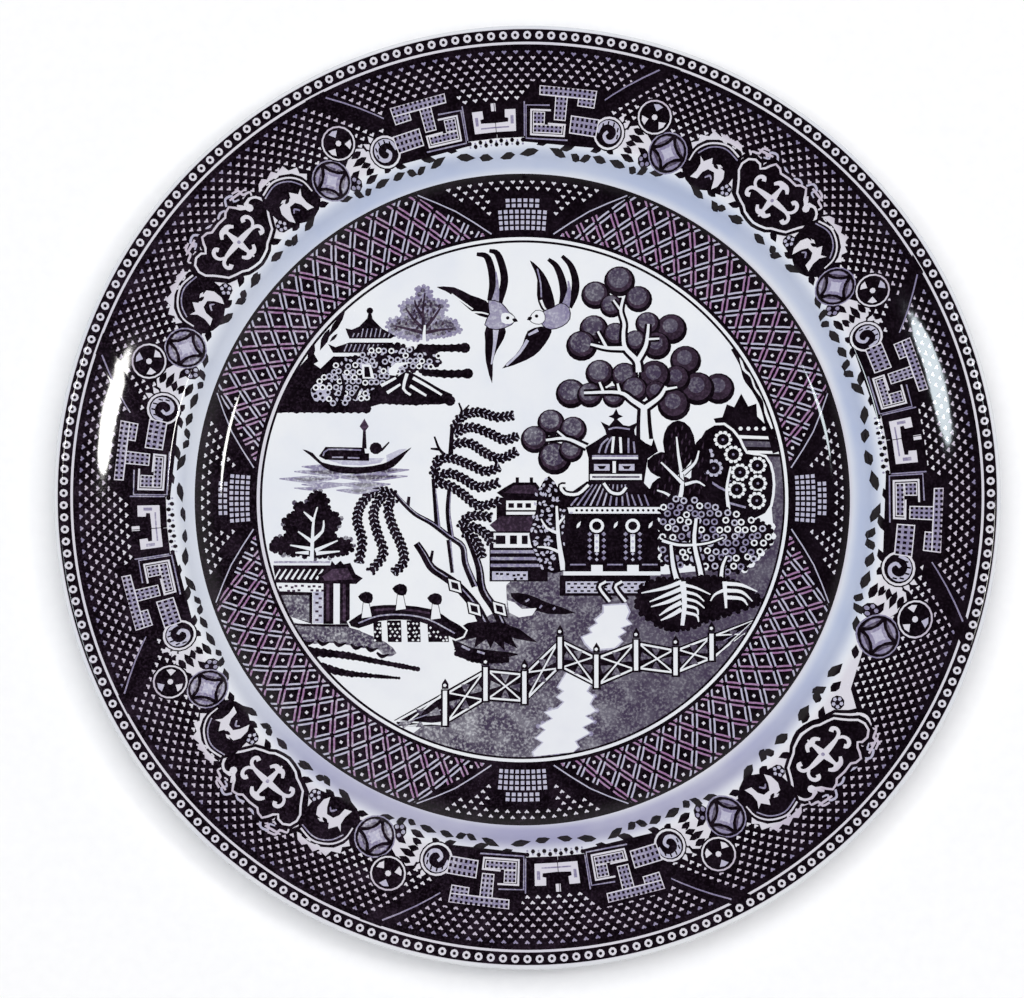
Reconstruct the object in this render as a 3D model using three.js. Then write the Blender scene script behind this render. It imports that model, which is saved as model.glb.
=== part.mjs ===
// A ten-inch dinner plate of glazed, transfer-printed earthenware.
// Millimetres, +Z up. The plate stands on its foot ring, with the origin under its centre.
//
// The plate is one piece of fired clay, so it is one closed solid of revolution. Its section is
// a short list of corners, each rounded with an arc: along the top from the centre of the well
// out to the lip, then back under the rim and round the foot ring to the centre of the base.

import * as THREE from 'three';

// Driving dimensions, in millimetres and degrees.
const outerRadius = 127;
const height = 22.7;
const wall = 3.8;
const lipRadius = wall / 2;
const rimSlope = 17;
const innerRimSlope = 5;
const rimHalfRun = 17.8;
const innerRimRun = 14.5;
const cavettoSlope = 52;
const wellFloor = 7.6;
const baseRecess = 3.2;
const footOuter = 80;
const footInner = 76.6;
const footDraft = 0.6;
const footShoulder = 5.2;

// The roundings of the section's corners.
const cavettoRound = 18;
const shoulderRound = 6;
const shoulderUnderRound = 4;
const rimRound = 100;
const footFillet = 0.9;
const footEdgeRound = 0.7;

// How finely the curves become facets.
const chordError = 0.08;
const segmentsAround = 90;

const radians = THREE.MathUtils.degToRad;

// A step of a given length along a slope, outwards and up where the length is positive.
function along(slope, length) {
  return new THREE.Vector2(Math.cos(radians(slope)), Math.sin(radians(slope))).multiplyScalar(length);
}

// A step straight out of the upper surface of a stretch that climbs at a given slope.
function outOf(slope, length) {
  return along(slope + 90, length);
}

// The same corner on the underside of the wall, where two stretches of different slope meet.
function under(corner, slopeIn, slopeOut) {
  const halfTurn = radians(slopeIn - slopeOut) / 2;
  const middleSlope = (slopeIn + slopeOut) / 2;
  return corner.clone().add(outOf(middleSlope, -wall / Math.cos(halfTurn)));
}

// The point where a line through a corner, at a given slope, comes down to a height.
function downTo(corner, slope, z) {
  const run = (corner.y - z) / Math.tan(radians(slope));
  return new THREE.Vector2(corner.x - run, z);
}

// The section's corners, with x the distance from the axis and y the height.
function sectionCorners() {
  const lipCentre = new THREE.Vector2(outerRadius - lipRadius, height - lipRadius);
  const lipEnd = lipCentre.clone().add(along(rimSlope, lipRadius));
  const lipTop = lipEnd.clone().add(outOf(rimSlope, lipRadius));
  const lipUnder = lipEnd.clone().add(outOf(rimSlope, -lipRadius));
  const rimMiddle = lipTop.clone().add(along(rimSlope, -rimHalfRun));
  const shoulder = rimMiddle.clone().add(along(innerRimSlope, -innerRimRun));
  const floorEdge = downTo(shoulder, cavettoSlope, wellFloor);
  const rimUnder = under(rimMiddle, innerRimSlope, rimSlope);
  const shoulderUnder = under(shoulder, cavettoSlope, innerRimSlope);
  const cavettoUnder = downTo(shoulderUnder, cavettoSlope, footShoulder);
  const footTop = footShoulder - 1;
  return [
    { at: new THREE.Vector2(0, wellFloor), round: 0 },
    { at: floorEdge, round: cavettoRound },
    { at: shoulder, round: shoulderRound },
    { at: rimMiddle, round: rimRound },
    { at: lipTop, round: lipRadius },
    { at: lipUnder, round: lipRadius },
    { at: rimUnder, round: rimRound },
    { at: shoulderUnder, round: shoulderUnderRound },
    { at: cavettoUnder, round: cavettoRound / 2 },
    { at: new THREE.Vector2(footOuter + footDraft, footTop), round: footFillet },
    { at: new THREE.Vector2(footOuter, 0), round: footEdgeRound },
    { at: new THREE.Vector2(footInner, 0), round: footEdgeRound },
    { at: new THREE.Vector2(footInner - footDraft, baseRecess), round: footFillet },
    { at: new THREE.Vector2(0, baseRecess), round: 0 },
  ];
}

// The points of the arc that rounds one corner, touching the straight stretches on both sides.
function roundCorner(before, corner, after, radius) {
  const towardsBefore = before.clone().sub(corner).normalize();
  const towardsAfter = after.clone().sub(corner).normalize();
  const halfOpening = Math.acos(towardsBefore.dot(towardsAfter)) / 2;
  const middle = towardsBefore.clone().add(towardsAfter).normalize();
  const centre = corner.clone().addScaledVector(middle, radius / Math.sin(halfOpening));
  const tangent = radius / Math.tan(halfOpening);
  const first = corner.clone().addScaledVector(towardsBefore, tangent).sub(centre);
  const turn = Math.PI - 2 * halfOpening;
  const side = Math.sign(towardsAfter.cross(towardsBefore));
  const steps = Math.max(2, Math.ceil(turn / (2 * Math.acos(1 - chordError / radius))));
  const points = [];
  for (let step = 0; step <= steps; step += 1) {
    const swept = first.clone().rotateAround(new THREE.Vector2(), side * turn * step / steps);
    points.push(swept.add(centre));
  }
  return points;
}

// The whole section as points, from the axis back to the axis.
function sectionPoints() {
  const corners = sectionCorners();
  const last = corners.length - 1;
  const points = [corners[0].at];
  for (let i = 1; i < last; i += 1) {
    points.push(...roundCorner(corners[i - 1].at, corners[i].at, corners[i + 1].at, corners[i].round));
  }
  points.push(corners[last].at);
  return points;
}

const glaze = new THREE.MeshStandardMaterial({
  name: 'glaze',
  color: 0xdde3ec,
  roughness: 0.12,
  metalness: 0,
});

// The lathe turns the section about its own Y axis, and the geometry is then stood up along Z.
const turned = new THREE.LatheGeometry(sectionPoints().reverse(), segmentsAround);
turned.rotateX(Math.PI / 2);

const plate = new THREE.Mesh(turned, glaze);
plate.name = 'plate';

const object = new THREE.Group();
object.add(plate);

export default object;
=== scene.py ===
# %% [markdown]
# # A transfer-printed dinner plate
# The plate is one piece of earthenware: clay pressed to a turned section, a dark print laid on
# it as tissue transfers, and a clear bluish glaze melted over both. This lesson makes it the same
# way round. First comes the section, then the print as flat shapes cut out in millimetres, and
# last one closed mesh whose upper face is divided along the edges of those shapes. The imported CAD
# model is the frame: it gives the size and the place, and the finished plate stands in for it.

# %% Load the frame
import math
import random
from bisect import bisect_right

import bmesh
import bpy
import numpy as np
from mathutils import Matrix, Vector
from mathutils.geometry import delaunay_2d_cdt


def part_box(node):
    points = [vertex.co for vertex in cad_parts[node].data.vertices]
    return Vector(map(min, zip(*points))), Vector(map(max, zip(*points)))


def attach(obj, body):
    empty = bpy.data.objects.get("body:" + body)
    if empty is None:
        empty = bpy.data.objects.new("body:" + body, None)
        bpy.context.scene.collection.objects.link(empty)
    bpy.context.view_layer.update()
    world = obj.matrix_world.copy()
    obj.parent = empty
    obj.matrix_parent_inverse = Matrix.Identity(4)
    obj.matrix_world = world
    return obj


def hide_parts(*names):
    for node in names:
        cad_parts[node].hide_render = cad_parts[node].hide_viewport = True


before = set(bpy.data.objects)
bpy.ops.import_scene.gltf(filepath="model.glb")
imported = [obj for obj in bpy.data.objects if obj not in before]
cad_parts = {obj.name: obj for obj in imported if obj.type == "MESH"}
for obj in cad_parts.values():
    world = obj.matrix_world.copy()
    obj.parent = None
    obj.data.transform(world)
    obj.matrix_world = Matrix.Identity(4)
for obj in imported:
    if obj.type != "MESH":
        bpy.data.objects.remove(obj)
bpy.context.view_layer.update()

MM = 0.001
_, plate_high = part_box("plate")
PLATE_R = max(plate_high.x, plate_high.y) / MM
PLATE_H = plate_high.z / MM
print(f"plate: {2 * PLATE_R:.1f} mm across and {PLATE_H:.1f} mm high")

# %% [markdown]
# ## The section
# A plate's form is all in its section: a flat well, a cavetto that curves up out of it, a short
# steep wall, a shoulder, a rim that is dished a little, a rolled lip, and a foot ring below. It
# could be drawn as one spline, but a potter's profile is made of straight runs and arcs, so here
# each corner is a point with a rounding. The heights and radii are the ones that the CAD has.

# %% Section corners and their roundings
WALL = 3.8
LIP = WALL / 2
RIM_SLOPE, INNER_RIM_SLOPE, WALL_SLOPE = 17.0, 5.0, 52.0
WELL_FLOOR, BASE_RECESS = 7.6, 3.2
FOOT_OUT, FOOT_IN, FOOT_DRAFT, FOOT_SHOULDER = 80.0, 76.6, 0.6, 5.2
RIM_HALF_RUN, INNER_RIM_RUN = 17.8, 14.5


def along(slope, length):
    """A step along a slope in degrees, outwards and up."""
    return Vector((math.cos(math.radians(slope)), math.sin(math.radians(slope)))) * length


def under(corner, slope_in, slope_out):
    """The same corner on the underside of the wall."""
    middle = (slope_in + slope_out) / 2
    stretch = math.cos(math.radians(slope_in - slope_out) / 2)
    return corner + along(middle + 90, -WALL / stretch)


def down_to(corner, slope, height):
    """Where a line through a corner comes down to a height."""
    return Vector((corner.x - (corner.y - height) / math.tan(math.radians(slope)), height))


def section_corners():
    """Each corner of the section with the radius that rounds it, from the well to the base."""
    lip_end = Vector((PLATE_R - LIP, PLATE_H - LIP)) + along(RIM_SLOPE, LIP)
    lip_top = lip_end + along(RIM_SLOPE + 90, LIP)
    lip_under = lip_end + along(RIM_SLOPE + 90, -LIP)
    rim = lip_top + along(RIM_SLOPE, -RIM_HALF_RUN)
    shoulder = rim + along(INNER_RIM_SLOPE, -INNER_RIM_RUN)
    shoulder_under = under(shoulder, WALL_SLOPE, INNER_RIM_SLOPE)
    return [
        (Vector((0, WELL_FLOOR)), 0),
        (down_to(shoulder, WALL_SLOPE, WELL_FLOOR), 18),
        (shoulder, 6),
        (rim, 100),
        (lip_top, LIP),
        (lip_under, LIP),
        (under(rim, INNER_RIM_SLOPE, RIM_SLOPE), 100),
        (shoulder_under, 4),
        (down_to(shoulder_under, WALL_SLOPE, FOOT_SHOULDER), 9),
        (Vector((FOOT_OUT + FOOT_DRAFT, FOOT_SHOULDER - 1)), 0.9),
        (Vector((FOOT_OUT, 0)), 0.7),
        (Vector((FOOT_IN, 0)), 0.7),
        (Vector((FOOT_IN - FOOT_DRAFT, BASE_RECESS)), 0.9),
        (Vector((0, BASE_RECESS)), 0),
    ]


def rounded(before, corner, after, radius, most_turn):
    """Points and outward normals on the arc that rounds one corner."""
    back, on = (before - corner).normalized(), (after - corner).normalized()
    half = math.acos(back.dot(on)) / 2
    centre = corner + (back + on).normalized() * (radius / math.sin(half))
    spoke = corner + back * (radius / math.tan(half)) - centre
    turn = math.pi - 2 * half
    side = 1.0 if back.cross(on) > 0 else -1.0
    steps = max(2, math.ceil(math.degrees(turn) / most_turn))
    found = []
    for step in range(steps + 1):
        out = Matrix.Rotation(-side * turn * step / steps, 2) @ spoke
        found.append((centre + out, out.normalized() * side))
    return found


def section(most_turn):
    """The whole section as (point, normal) pairs, each arc cut into turns of at most this."""
    corners = section_corners()
    line = [(corners[0][0], Vector((0, 1)))]
    for (before, _), (corner, radius), (after, _) in zip(corners, corners[1:], corners[2:]):
        line += rounded(before, corner, after, radius, most_turn)
    return line + [(corners[-1][0], Vector((0, -1)))]


fine_section = section(1.0)
JOIN_R = PLATE_R - 1.0
top_line = []
for place, normal in fine_section:
    if top_line and (place.x > JOIN_R + 0.6 or place.x < top_line[-1][0]):
        break
    top_line.append((place.x, place.y, normal.x, normal.y))
top_radii = [row[0] for row in top_line]


def on_top(radius):
    """Height and normal of the upper face at a distance from the axis."""
    right = min(max(bisect_right(top_radii, radius), 1), len(top_line) - 1)
    low, high = top_line[right - 1], top_line[right]
    share = (radius - low[0]) / (high[0] - low[0])
    return [a + (b - a) * share for a, b in zip(low[1:], high[1:])]


print(f"section: {len(fine_section)} points, rim face from {on_top(98)[0]:.1f} to {PLATE_H:.1f} mm")

# %% [markdown]
# ## How the print is cut
# A transfer print is dark ink and bare glaze, and all of its greys are finer or coarser work by
# the engraver. An image would be the quick way, but here every mark is a real outline. The shapes
# are painted one over another on a flat sheet, like cut paper: solid ink, then bare clay over it,
# then ink again. Later the sheet is cut along every edge at once, and each scrap of it takes the
# finish of the topmost shape.

# %% The sheet and its simplest shapes
sheet = []


def paint(finish, outline):
    """Lays one closed shape on the sheet, over all the others. Its points are in millimetres."""
    sheet.append((finish, [Vector(p) for p in outline]))


def circle(x, y, radius, sides=12, turn=0.0):
    """Points round a circle."""
    steps = [math.tau * i / sides + math.radians(turn) for i in range(sides)]
    return [(x + radius * math.cos(a), y + radius * math.sin(a)) for a in steps]


def curve(points, cuts=4):
    """A smooth line through given points, with each stretch cut into a few steps."""
    ends = [Vector(p) for p in points]
    ends = [2 * ends[0] - ends[1]] + ends + [2 * ends[-1] - ends[-2]]
    line = []
    for a, b, c, d in zip(ends, ends[1:], ends[2:], ends[3:]):
        for cut in range(cuts):
            t = cut / cuts
            bend = 2 * a - 5 * b + 4 * c - d
            twist = 3 * b - a - 3 * c + d
            line.append(b + ((c - a) * t + bend * t * t + twist * t**3) * 0.5)
    return line + [ends[-2]]


def ribbon(points, widths, cuts=4):
    """The outline of a line drawn with a pen of one width, or of widths that swell along it."""
    if len(widths) == 1:
        widths = widths * 2
    line = curve(points, cuts)
    left, right = [], []
    for i, place in enumerate(line):
        ahead = line[min(i + 1, len(line) - 1)] - line[max(i - 1, 0)]
        across = Vector((-ahead.y, ahead.x)).normalized()
        at = i / (len(line) - 1) * (len(widths) - 1)
        low = min(int(at), len(widths) - 2)
        half = (widths[low] + (widths[low + 1] - widths[low]) * (at - low)) / 2
        left.append(place + across * half)
        right.append(place - across * half)
    return left + right[::-1]


def leaf(base, tip, width):
    """An almond from its base to its tip."""
    a, b = Vector(base), Vector(tip)
    out = Vector((a.y - b.y, b.x - a.x)).normalized() * width / 2
    return [a, a.lerp(b, 0.25) + out * 0.8, a.lerp(b, 0.55) + out, b,
            a.lerp(b, 0.55) - out, a.lerp(b, 0.25) - out * 0.8]


def grown(outline, by):
    """An outline moved outwards all round."""
    points = [Vector(p) for p in outline]
    area = sum(a.cross(b) for a, b in zip(points, points[1:] + points[:1]))
    side = by if area > 0 else -by
    moved = []
    for before, at, after in zip(points[-1:] + points, points, points[1:] + points[:1]):
        ahead = (at - before).normalized() + (after - at).normalized()
        if ahead.length < 1e-6:
            ahead = after - at
        moved.append(at + Vector((ahead.y, -ahead.x)).normalized() * side)
    return moved


def box(left, right, low, high):
    """A rectangle's corners."""
    return [(left, low), (right, low), (right, high), (left, high)]


def mirrored(outline):
    """An outline turned over, left for right."""
    return [(-p[0], p[1]) for p in outline]


def reach(outline):
    """The corners of the box round an outline."""
    xs, ys = [p.x for p in outline], [p.y for p in outline]
    return min(xs), min(ys), max(xs), max(ys)


def held(outline, xs, ys):
    """For each of many points, whether it's inside an outline."""
    inside = np.zeros(len(xs), bool)
    for a, b in zip(outline, outline[1:] + outline[:1]):
        if a.y != b.y:
            crosses = ((a.y > ys) != (b.y > ys)) & (xs < a.x + (ys - a.y) * (b.x - a.x) / (b.y - a.y))
            inside ^= crosses
    return inside


# %% [markdown]
# ## The rings
# The borders hang on plain rings, so the rings go down first, from the lip inwards. Each is a
# whole disc that the next one mostly covers. All of them share the same number of sides, which is
# also how finely the plate itself is turned.

# %% Rings from the lip to the well
AROUND = 240


def polar(degrees, radius):
    """A point at an angle clockwise from the top of the scene."""
    a = math.radians(degrees)
    return (radius * math.sin(a), radius * math.cos(a))


def ring(finish, radius):
    """A whole disc with as many sides as the plate."""
    paint(finish, [polar(360 * i / AROUND, radius) for i in range(AROUND)])


RINGS = [("bare", JOIN_R), ("solid", 125.7), ("bare", 122.35), ("solid", 121.7), ("bare", 93.0)]
for finish, radius in RINGS:
    ring(finish, radius)
print(f"rings: {len(RINGS)} discs of {AROUND} sides")

# %% [markdown]
# ## The bead and the diaper
# A string of small beads runs along the lip: each is a bare ring with an inked eye. Inside it the
# rim is covered with a diaper, rows of little bare hearts on solid ink, each row set half a step
# from the last. Both repeat hundreds of times, so each mark has only the corners that it needs.

# %% Bead and diaper
COLUMNS = 240
STEP = 360 / COLUMNS
BEAD_AT, BEAD_R, BEAD_EYE = 124.1, 1.1, 0.5
HEART = [(-0.82, 0.28), (-0.4, 0.55), (0, 0.3), (0.4, 0.55), (0.82, 0.28), (0.08, -0.62)]
for i in range(COLUMNS):
    bead = polar(i * STEP, BEAD_AT)
    paint("bare", circle(*bead, BEAD_R, 9, turn=-i * STEP))
    paint("solid", circle(*bead, BEAD_EYE, 5, turn=-i * STEP))


def heart(degrees, radius, size=1.0):
    """One bare mark of the diaper, pointing at the plate's centre."""
    out = Vector(polar(degrees, 1))
    side = Vector((out.y, -out.x))
    middle = out * radius
    return [middle + side * (x * size) + out * (y * size) for x, y in HEART]


DIAPER_ROWS, ROW, FIRST_ROW, HEART_SIZE = 15, 1.5, 119.7, 0.88
for row in range(DIAPER_ROWS):
    for i in range(COLUMNS):
        mark = heart((i + row % 2 / 2) * STEP, FIRST_ROW - row * ROW, HEART_SIZE)
        paint("light" if row == 0 else "bare", mark)
print(f"diaper: {DIAPER_ROWS * COLUMNS} hearts, and {COLUMNS} beads")

# %% [markdown]
# ## One half of the rim's repeat
# The rim's pattern is a strip of eight halves. Each runs from the middle of a cartouche to the
# middle of a key square, and its neighbour is the same half turned over. The half is drawn flat,
# with the distance along the strip across the page and the radius up it, and bent round later.

# %% Drawing on the strip
HALF_LENGTH = 84.8
half = []


def lay(finish, outline):
    """Adds a shape to the half strip."""
    half.append((finish, [Vector(p) for p in outline]))


def lay_stroke(finish, points, *widths, cuts=3):
    """Adds a line of the pen to the half strip."""
    lay(finish, ribbon(points, widths, cuts))


def lay_leaves(finish, ends, width):
    """Adds many almonds, each given by the two coordinates of its base and the two of its tip."""
    for x0, y0, x1, y1 in ends:
        lay(finish, leaf((x0, y0), (x1, y1), width))


def stippled(left, right, low, high, across, up):
    """A pale field with a fine bare edge and rows of dark dots."""
    lay("bare", box(left, right, low, high))
    lay("light", box(left + 0.3, right - 0.3, low + 0.3, high - 0.3))
    wide, tall = (right - left) / across, (high - low) / up
    for i in range(across):
        for j in range(up):
            x, y = left + wide * (i + 0.5), low + tall * (j + 0.5)
            lay("solid", box(x - wide * 0.27, x + wide * 0.27, y - tall * 0.28, y + tall * 0.28))


# %% [markdown]
# ### The hem and the bar
# The strip's inner edge is a bare hem with small leaves scattered along it. No two of them lie
# alike, so each is given by its base and its tip, and one function draws them all.

# %% The bare hem, its leaves and the slanting bar
lay("bare", [(-0.5, 91.6), (HALF_LENGTH + 0.5, 91.6), (HALF_LENGTH + 0.5, 98.2), (76, 98.2), (60, 97.0),
             (53.5, 97.6), (47.2, 98.6), (45.6, 103.8), (42.6, 105.0), (38.6, 101.6), (34.5, 97),
             (26.5, 98), (17.5, 99.6), (14, 103.5), (11, 100.5), (6, 97), (-0.5, 96)])
lay("solid", [(37.4, 121.9), (42.6, 121.9), (56.6, 107.3), (51.0, 106.9)])
lay_stroke("light", [(42.4, 120.2), (49.2, 113.9), (55.4, 107.9)], 0.4, 0.3, cuts=2)
lay_leaves("solid", [(-2.8, 94.7, -8.1, 93.4), (2.4, 93.9, 7.8, 93.6), (9.2, 94.4, 12.4, 93.6),
                     (11.0, 92.8, 14.6, 94.4), (17.0, 93.6, 22.4, 94.9), (6.0, 97.4, 9.8, 95.9),
                     (14.0, 95.6, 18.0, 96.4), (31.3, 95.0, 36.1, 93.7), (36.8, 94.6, 39.6, 92.4),
                     (39.9, 92.7, 42.7, 93.4), (43.7, 93.1, 49.3, 93.8), (50.0, 93.1, 54.6, 93.8),
                     (35.1, 96.8, 39.5, 95.6), (41.6, 95.0, 46.4, 96.0), (52.0, 96.5, 55.6, 94.8),
                     (55.0, 93.8, 58.4, 92.3), (58.2, 92.3, 61.5, 93.6), (60.4, 95.8, 65.4, 94.2),
                     (62.8, 92.7, 68.4, 94.6), (71.6, 93.9, 77.8, 92.9), (79.0, 92.9, 83.8, 92.3),
                     (24.9, 96.8, 28.6, 95.7), (42.9, 96.9, 46.6, 98.4), (37.9, 97.6, 41.8, 99.0),
                     (44.6, 103.4, 41.0, 102.7), (45.4, 101.4, 40.4, 100.6), (48.4, 95.4, 51.4, 97.0),
                     (46.0, 99.6, 42.4, 99.4), (68.6, 96.6, 72.4, 95.2), (56.6, 96.6, 60.4, 97.6)], 1.9)


def blossom(x, y, disc, out, petal, finish, sides):
    """A dark disc with five round petals, each at a distance out from its middle."""
    lay("solid", circle(x, y, disc, 9))
    for k in range(5):
        spot = Matrix.Rotation(math.tau * k / 5, 2) @ Vector((out, 0))
        lay(finish, circle(x + spot.x, y + spot.y, petal, sides))


blossom(38.6, 96.3, 2.2, 1.25, 0.62, "light", 6)
print(f"hem: {len(half)} shapes")

# %% [markdown]
# ### The cartouche
# A dark shield with a bare cross of scrolls. It lies across the strip's end, so the outline gives
# one side of it, and the other side is the same points turned over.

# %% The cartouche
CARTOUCHE = [(0, 110.6), (2.8, 110.4), (3.9, 111.3), (5.3, 111.6), (6.2, 110.4), (6.9, 109.2),
             (8.3, 108.2), (9.2, 109.2), (10.8, 109.5), (12.4, 108.7), (13.2, 107.0), (13.0, 105.2),
             (11.6, 103.3), (10.5, 101.5), (9.6, 99.9), (7.6, 98.9), (5.6, 98.1), (4.2, 97.1),
             (2.0, 96.5), (0, 96.2)]
whole = CARTOUCHE + mirrored(CARTOUCHE[-2:0:-1])
lay("solid", grown(whole, 1.5))
lay("bare", grown(whole, 0.62))
lay("solid", whole)
for tuft in ([(5.0, 112.4), (6.2, 114.0), (8.0, 113.4), (7.4, 112.0), (8.8, 111.4)],
             [(8.4, 113.8), (10.2, 113.2), (10.4, 111.6), (12.2, 111.0), (12.0, 109.9)],
             [(6.8, 113.0), (9.4, 112.6), (11.2, 112.4)], [(1.0, 111.8), (2.6, 112.4), (4.0, 112.0)]):
    lay_stroke("bare" if tuft[0][0] > 6 else "pale", tuft, 0.55, 0.7, 0.4)
lay("bare", circle(9.3, 107.9, 1.05, 8))
lay_stroke("bare", [(7.2, 110.6), (8.0, 109.4), (8.8, 107.9)], 0.6, 0.9, 0.8)
lay_stroke("bare", [(9.2, 107.2), (9.2, 108.4), (10.2, 109.6), (12.0, 109.3), (13.5, 107.5),
                    (13.6, 105.8), (12.9, 104.2)], 0.9, 0.65, 0.5)
lay_stroke("bare", [(0, 109.4), (0, 106.4), (0, 103.7), (0, 101.2), (0, 98.0)], 0.4, 1.2, 2.3, 1.4, 0.5,
           cuts=2)
CROSS = [([(0, 103.7), (3.2, 103.7), (5.6, 103.6), (7.2, 103.1), (7.8, 102.0), (7.2, 101.0),
           (6.2, 101.3)], (1.9, 0.95, 1.0, 1.3)),
         ([(5.8, 103.7), (7.0, 104.5), (7.4, 105.8), (6.8, 106.9), (5.7, 107.1), (5.3, 106.3)],
          (0.7, 1.05, 1.2)),
         ([(0, 108.4), (0.9, 108.6), (1.7, 108.2), (2.4, 107.4)], (1.8, 1.3, 0.8)),
         ([(0, 99.4), (1.2, 99.1), (2.0, 99.6), (2.5, 100.4)], (1.7, 1.2, 0.8))]
for side in (1, -1):
    for drawn, widths in CROSS:
        lay_stroke("bare", [(side * x, y) for x, y in drawn], *widths)
lay("light", circle(0.2, 103.6, 0.55, 6))
print(f"cartouche: {len(half)} shapes so far")

# %% [markdown]
# ### The scroll, the coin and the spoked disc
# Beside the cartouche come a plumed scroll, a coin with a four-pointed star, and a small disc with
# three spokes. The coin and the disc are turned shapes, so one petal or spoke is drawn and spun.

# %% The scroll
scroll_from = len(half)
lay("solid", circle(21.2, 102.0, 7.2, 18))
lay("solid", [(21.2, 109.2), (14.2, 109.2), (12.4, 105.0), (13.2, 96.6), (21.2, 95.4)])
lay("bare", [(14.1, 109.2), (15.4, 110.9), (17.0, 111.5), (18.0, 110.5), (20.2, 111.5), (21.2, 110.2),
             (23.6, 110.8), (24.2, 108.9), (26.6, 108.3), (26.2, 106.6), (27.9, 105.4), (26.8, 104.0),
             (26.2, 105.6), (24.4, 107.8), (21.4, 109.3), (18.2, 109.8), (14.8, 109.5)])
lay_stroke("bare",
           [(14.4, 107.9), (17.8, 108.9), (20.4, 108.6), (23.6, 107.0), (25.8, 104.2), (26.3, 100.8)],
           0.5, 0.5, 0.4)
lay_stroke("light", [(14.2, 106.9), (17.8, 107.9), (20.4, 107.6), (23.0, 106.1), (24.9, 103.6)], 0.35)
lay("bare", [(23.9, 103.2), (22.4, 102.3), (20.6, 104.2), (19.9, 102.7), (17.6, 103.6), (15.9, 102.9),
             (14.9, 100.8), (15.2, 98.2), (16.4, 96.7), (17.2, 99.4), (18.2, 101.0), (20.2, 101.0),
             (21.3, 99.6), (21.8, 97.4), (23.9, 97.0), (23.0, 99.2), (22.9, 101.4)])
lay_leaves("solid", [(13.4, 103.4, 17.4, 102.9), (17.6, 102.3, 19.8, 103.0)], 1.0)
lay_stroke("light", [(19.9, 98.6), (18.8, 99.7), (17.9, 98.9)], 0.4, 0.6, 0.3)
scroll_to = len(half)
print(f"scroll: {scroll_to - scroll_from} shapes")

blossom(12.6, 98.5, 1.9, 1.1, 0.55, "pale", 5)

# %% The coin and the spoked disc
COIN = (32.9, 100.2)
lay("light", circle(*COIN, 5.75, 20))
lay("solid", circle(*COIN, 5.4, 20))
star = []
for quarter in range(4):
    spin = Matrix.Rotation(math.pi / 2 * quarter, 2)
    petal = [(0.75, 4.6), (2.2, 4.25), (3.4, 3.4), (4.25, 2.2), (4.6, 0.75), (3.3, 1.2), (2.0, 2.1),
             (1.2, 3.3)]
    lay("middle", [Vector(COIN) + spin @ Vector(p) for p in petal])
    lay("light", [Vector(COIN) + spin @ (Vector(p) * 0.92 + Vector((0.15, 0.15))) for p in petal[:5]])
    star += [Vector(COIN) + spin @ Vector(p) for p in [(3.8, 0), (2.4, 0.75), (1.6, 1.6), (0.75, 2.4)]]
lay("light", star)
lay("pale", [Vector(COIN) * 0.4 + Vector(p) * 0.6 for p in star])

SPOKED = (39.9, 108.0)
lay("solid", circle(*SPOKED, 5.1, 18))
lay("bare", circle(*SPOKED, 4.65, 18))
lay("solid", circle(*SPOKED, 4.2, 18))
for k in range(3):
    spin = Matrix.Rotation(math.radians(120 * k), 2)
    spoke = [Vector(SPOKED) + spin @ Vector(p) for p in [(0, 1.7), (1.3, 3.2), (0, 3.6), (-1.3, 3.2)]]
    lay("bare" if k else "pale", spoke)
lay("bare", circle(*SPOKED, 0.8, 7))
print(f"scroll, coin and disc: {len(half)} shapes so far")

# %% [markdown]
# ### The snail and the keys
# A rayed snail shell leads to the key blocks: stippled bars that turn square corners round a bare
# key. A stippled bar is a pale field with rows of dark dots, which prints as an even grey.

# %% The snail
SNAIL = (51.2, 100.6)
lay("solid", [(52.6, 105.2), (55.4, 112.2), (74.4, 112.2), (75.2, 109.0), (76.2, 107.8), (76.2, 96.0),
              (52, 96.2)])
for degrees in (128, 150, 172, 194, 214):
    a, b = math.radians(degrees), math.radians(degrees - 12)
    base = (SNAIL[0] + 3.6 * math.cos(a), SNAIL[1] + 3.6 * math.sin(a))
    tip = (SNAIL[0] + 6.9 * math.cos(b), SNAIL[1] + 6.4 * math.sin(b))
    lay("bare", leaf(base, tip, 1.5))
lay("solid", circle(*SNAIL, 4.9, 16))
lay("bare", circle(*SNAIL, 4.5, 18))
lay("solid", circle(*SNAIL, 3.9, 18))
COIL = [(3.2, -0.4), (2.6, 1.8), (0.6, 2.9), (-1.8, 2.2), (-2.7, 0.2), (-1.8, -1.8), (0, -2.2),
        (1.2, -0.9), (0.4, 0.4)]
lay_stroke("pale", [(SNAIL[0] + x, SNAIL[1] + y) for x, y in COIL], 0.7, 1.3, 1.1, 0.8)
for degrees in (40, 75, 110, 150, 190):
    a = math.radians(degrees)
    x, y = SNAIL[0] + 2.7 * math.cos(a), SNAIL[1] + 2.7 * math.sin(a)
    lay("solid", box(x - 0.22, x + 0.22, y - 0.6, y + 0.6))
print(f"snail: {len(half)} shapes so far")

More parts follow.
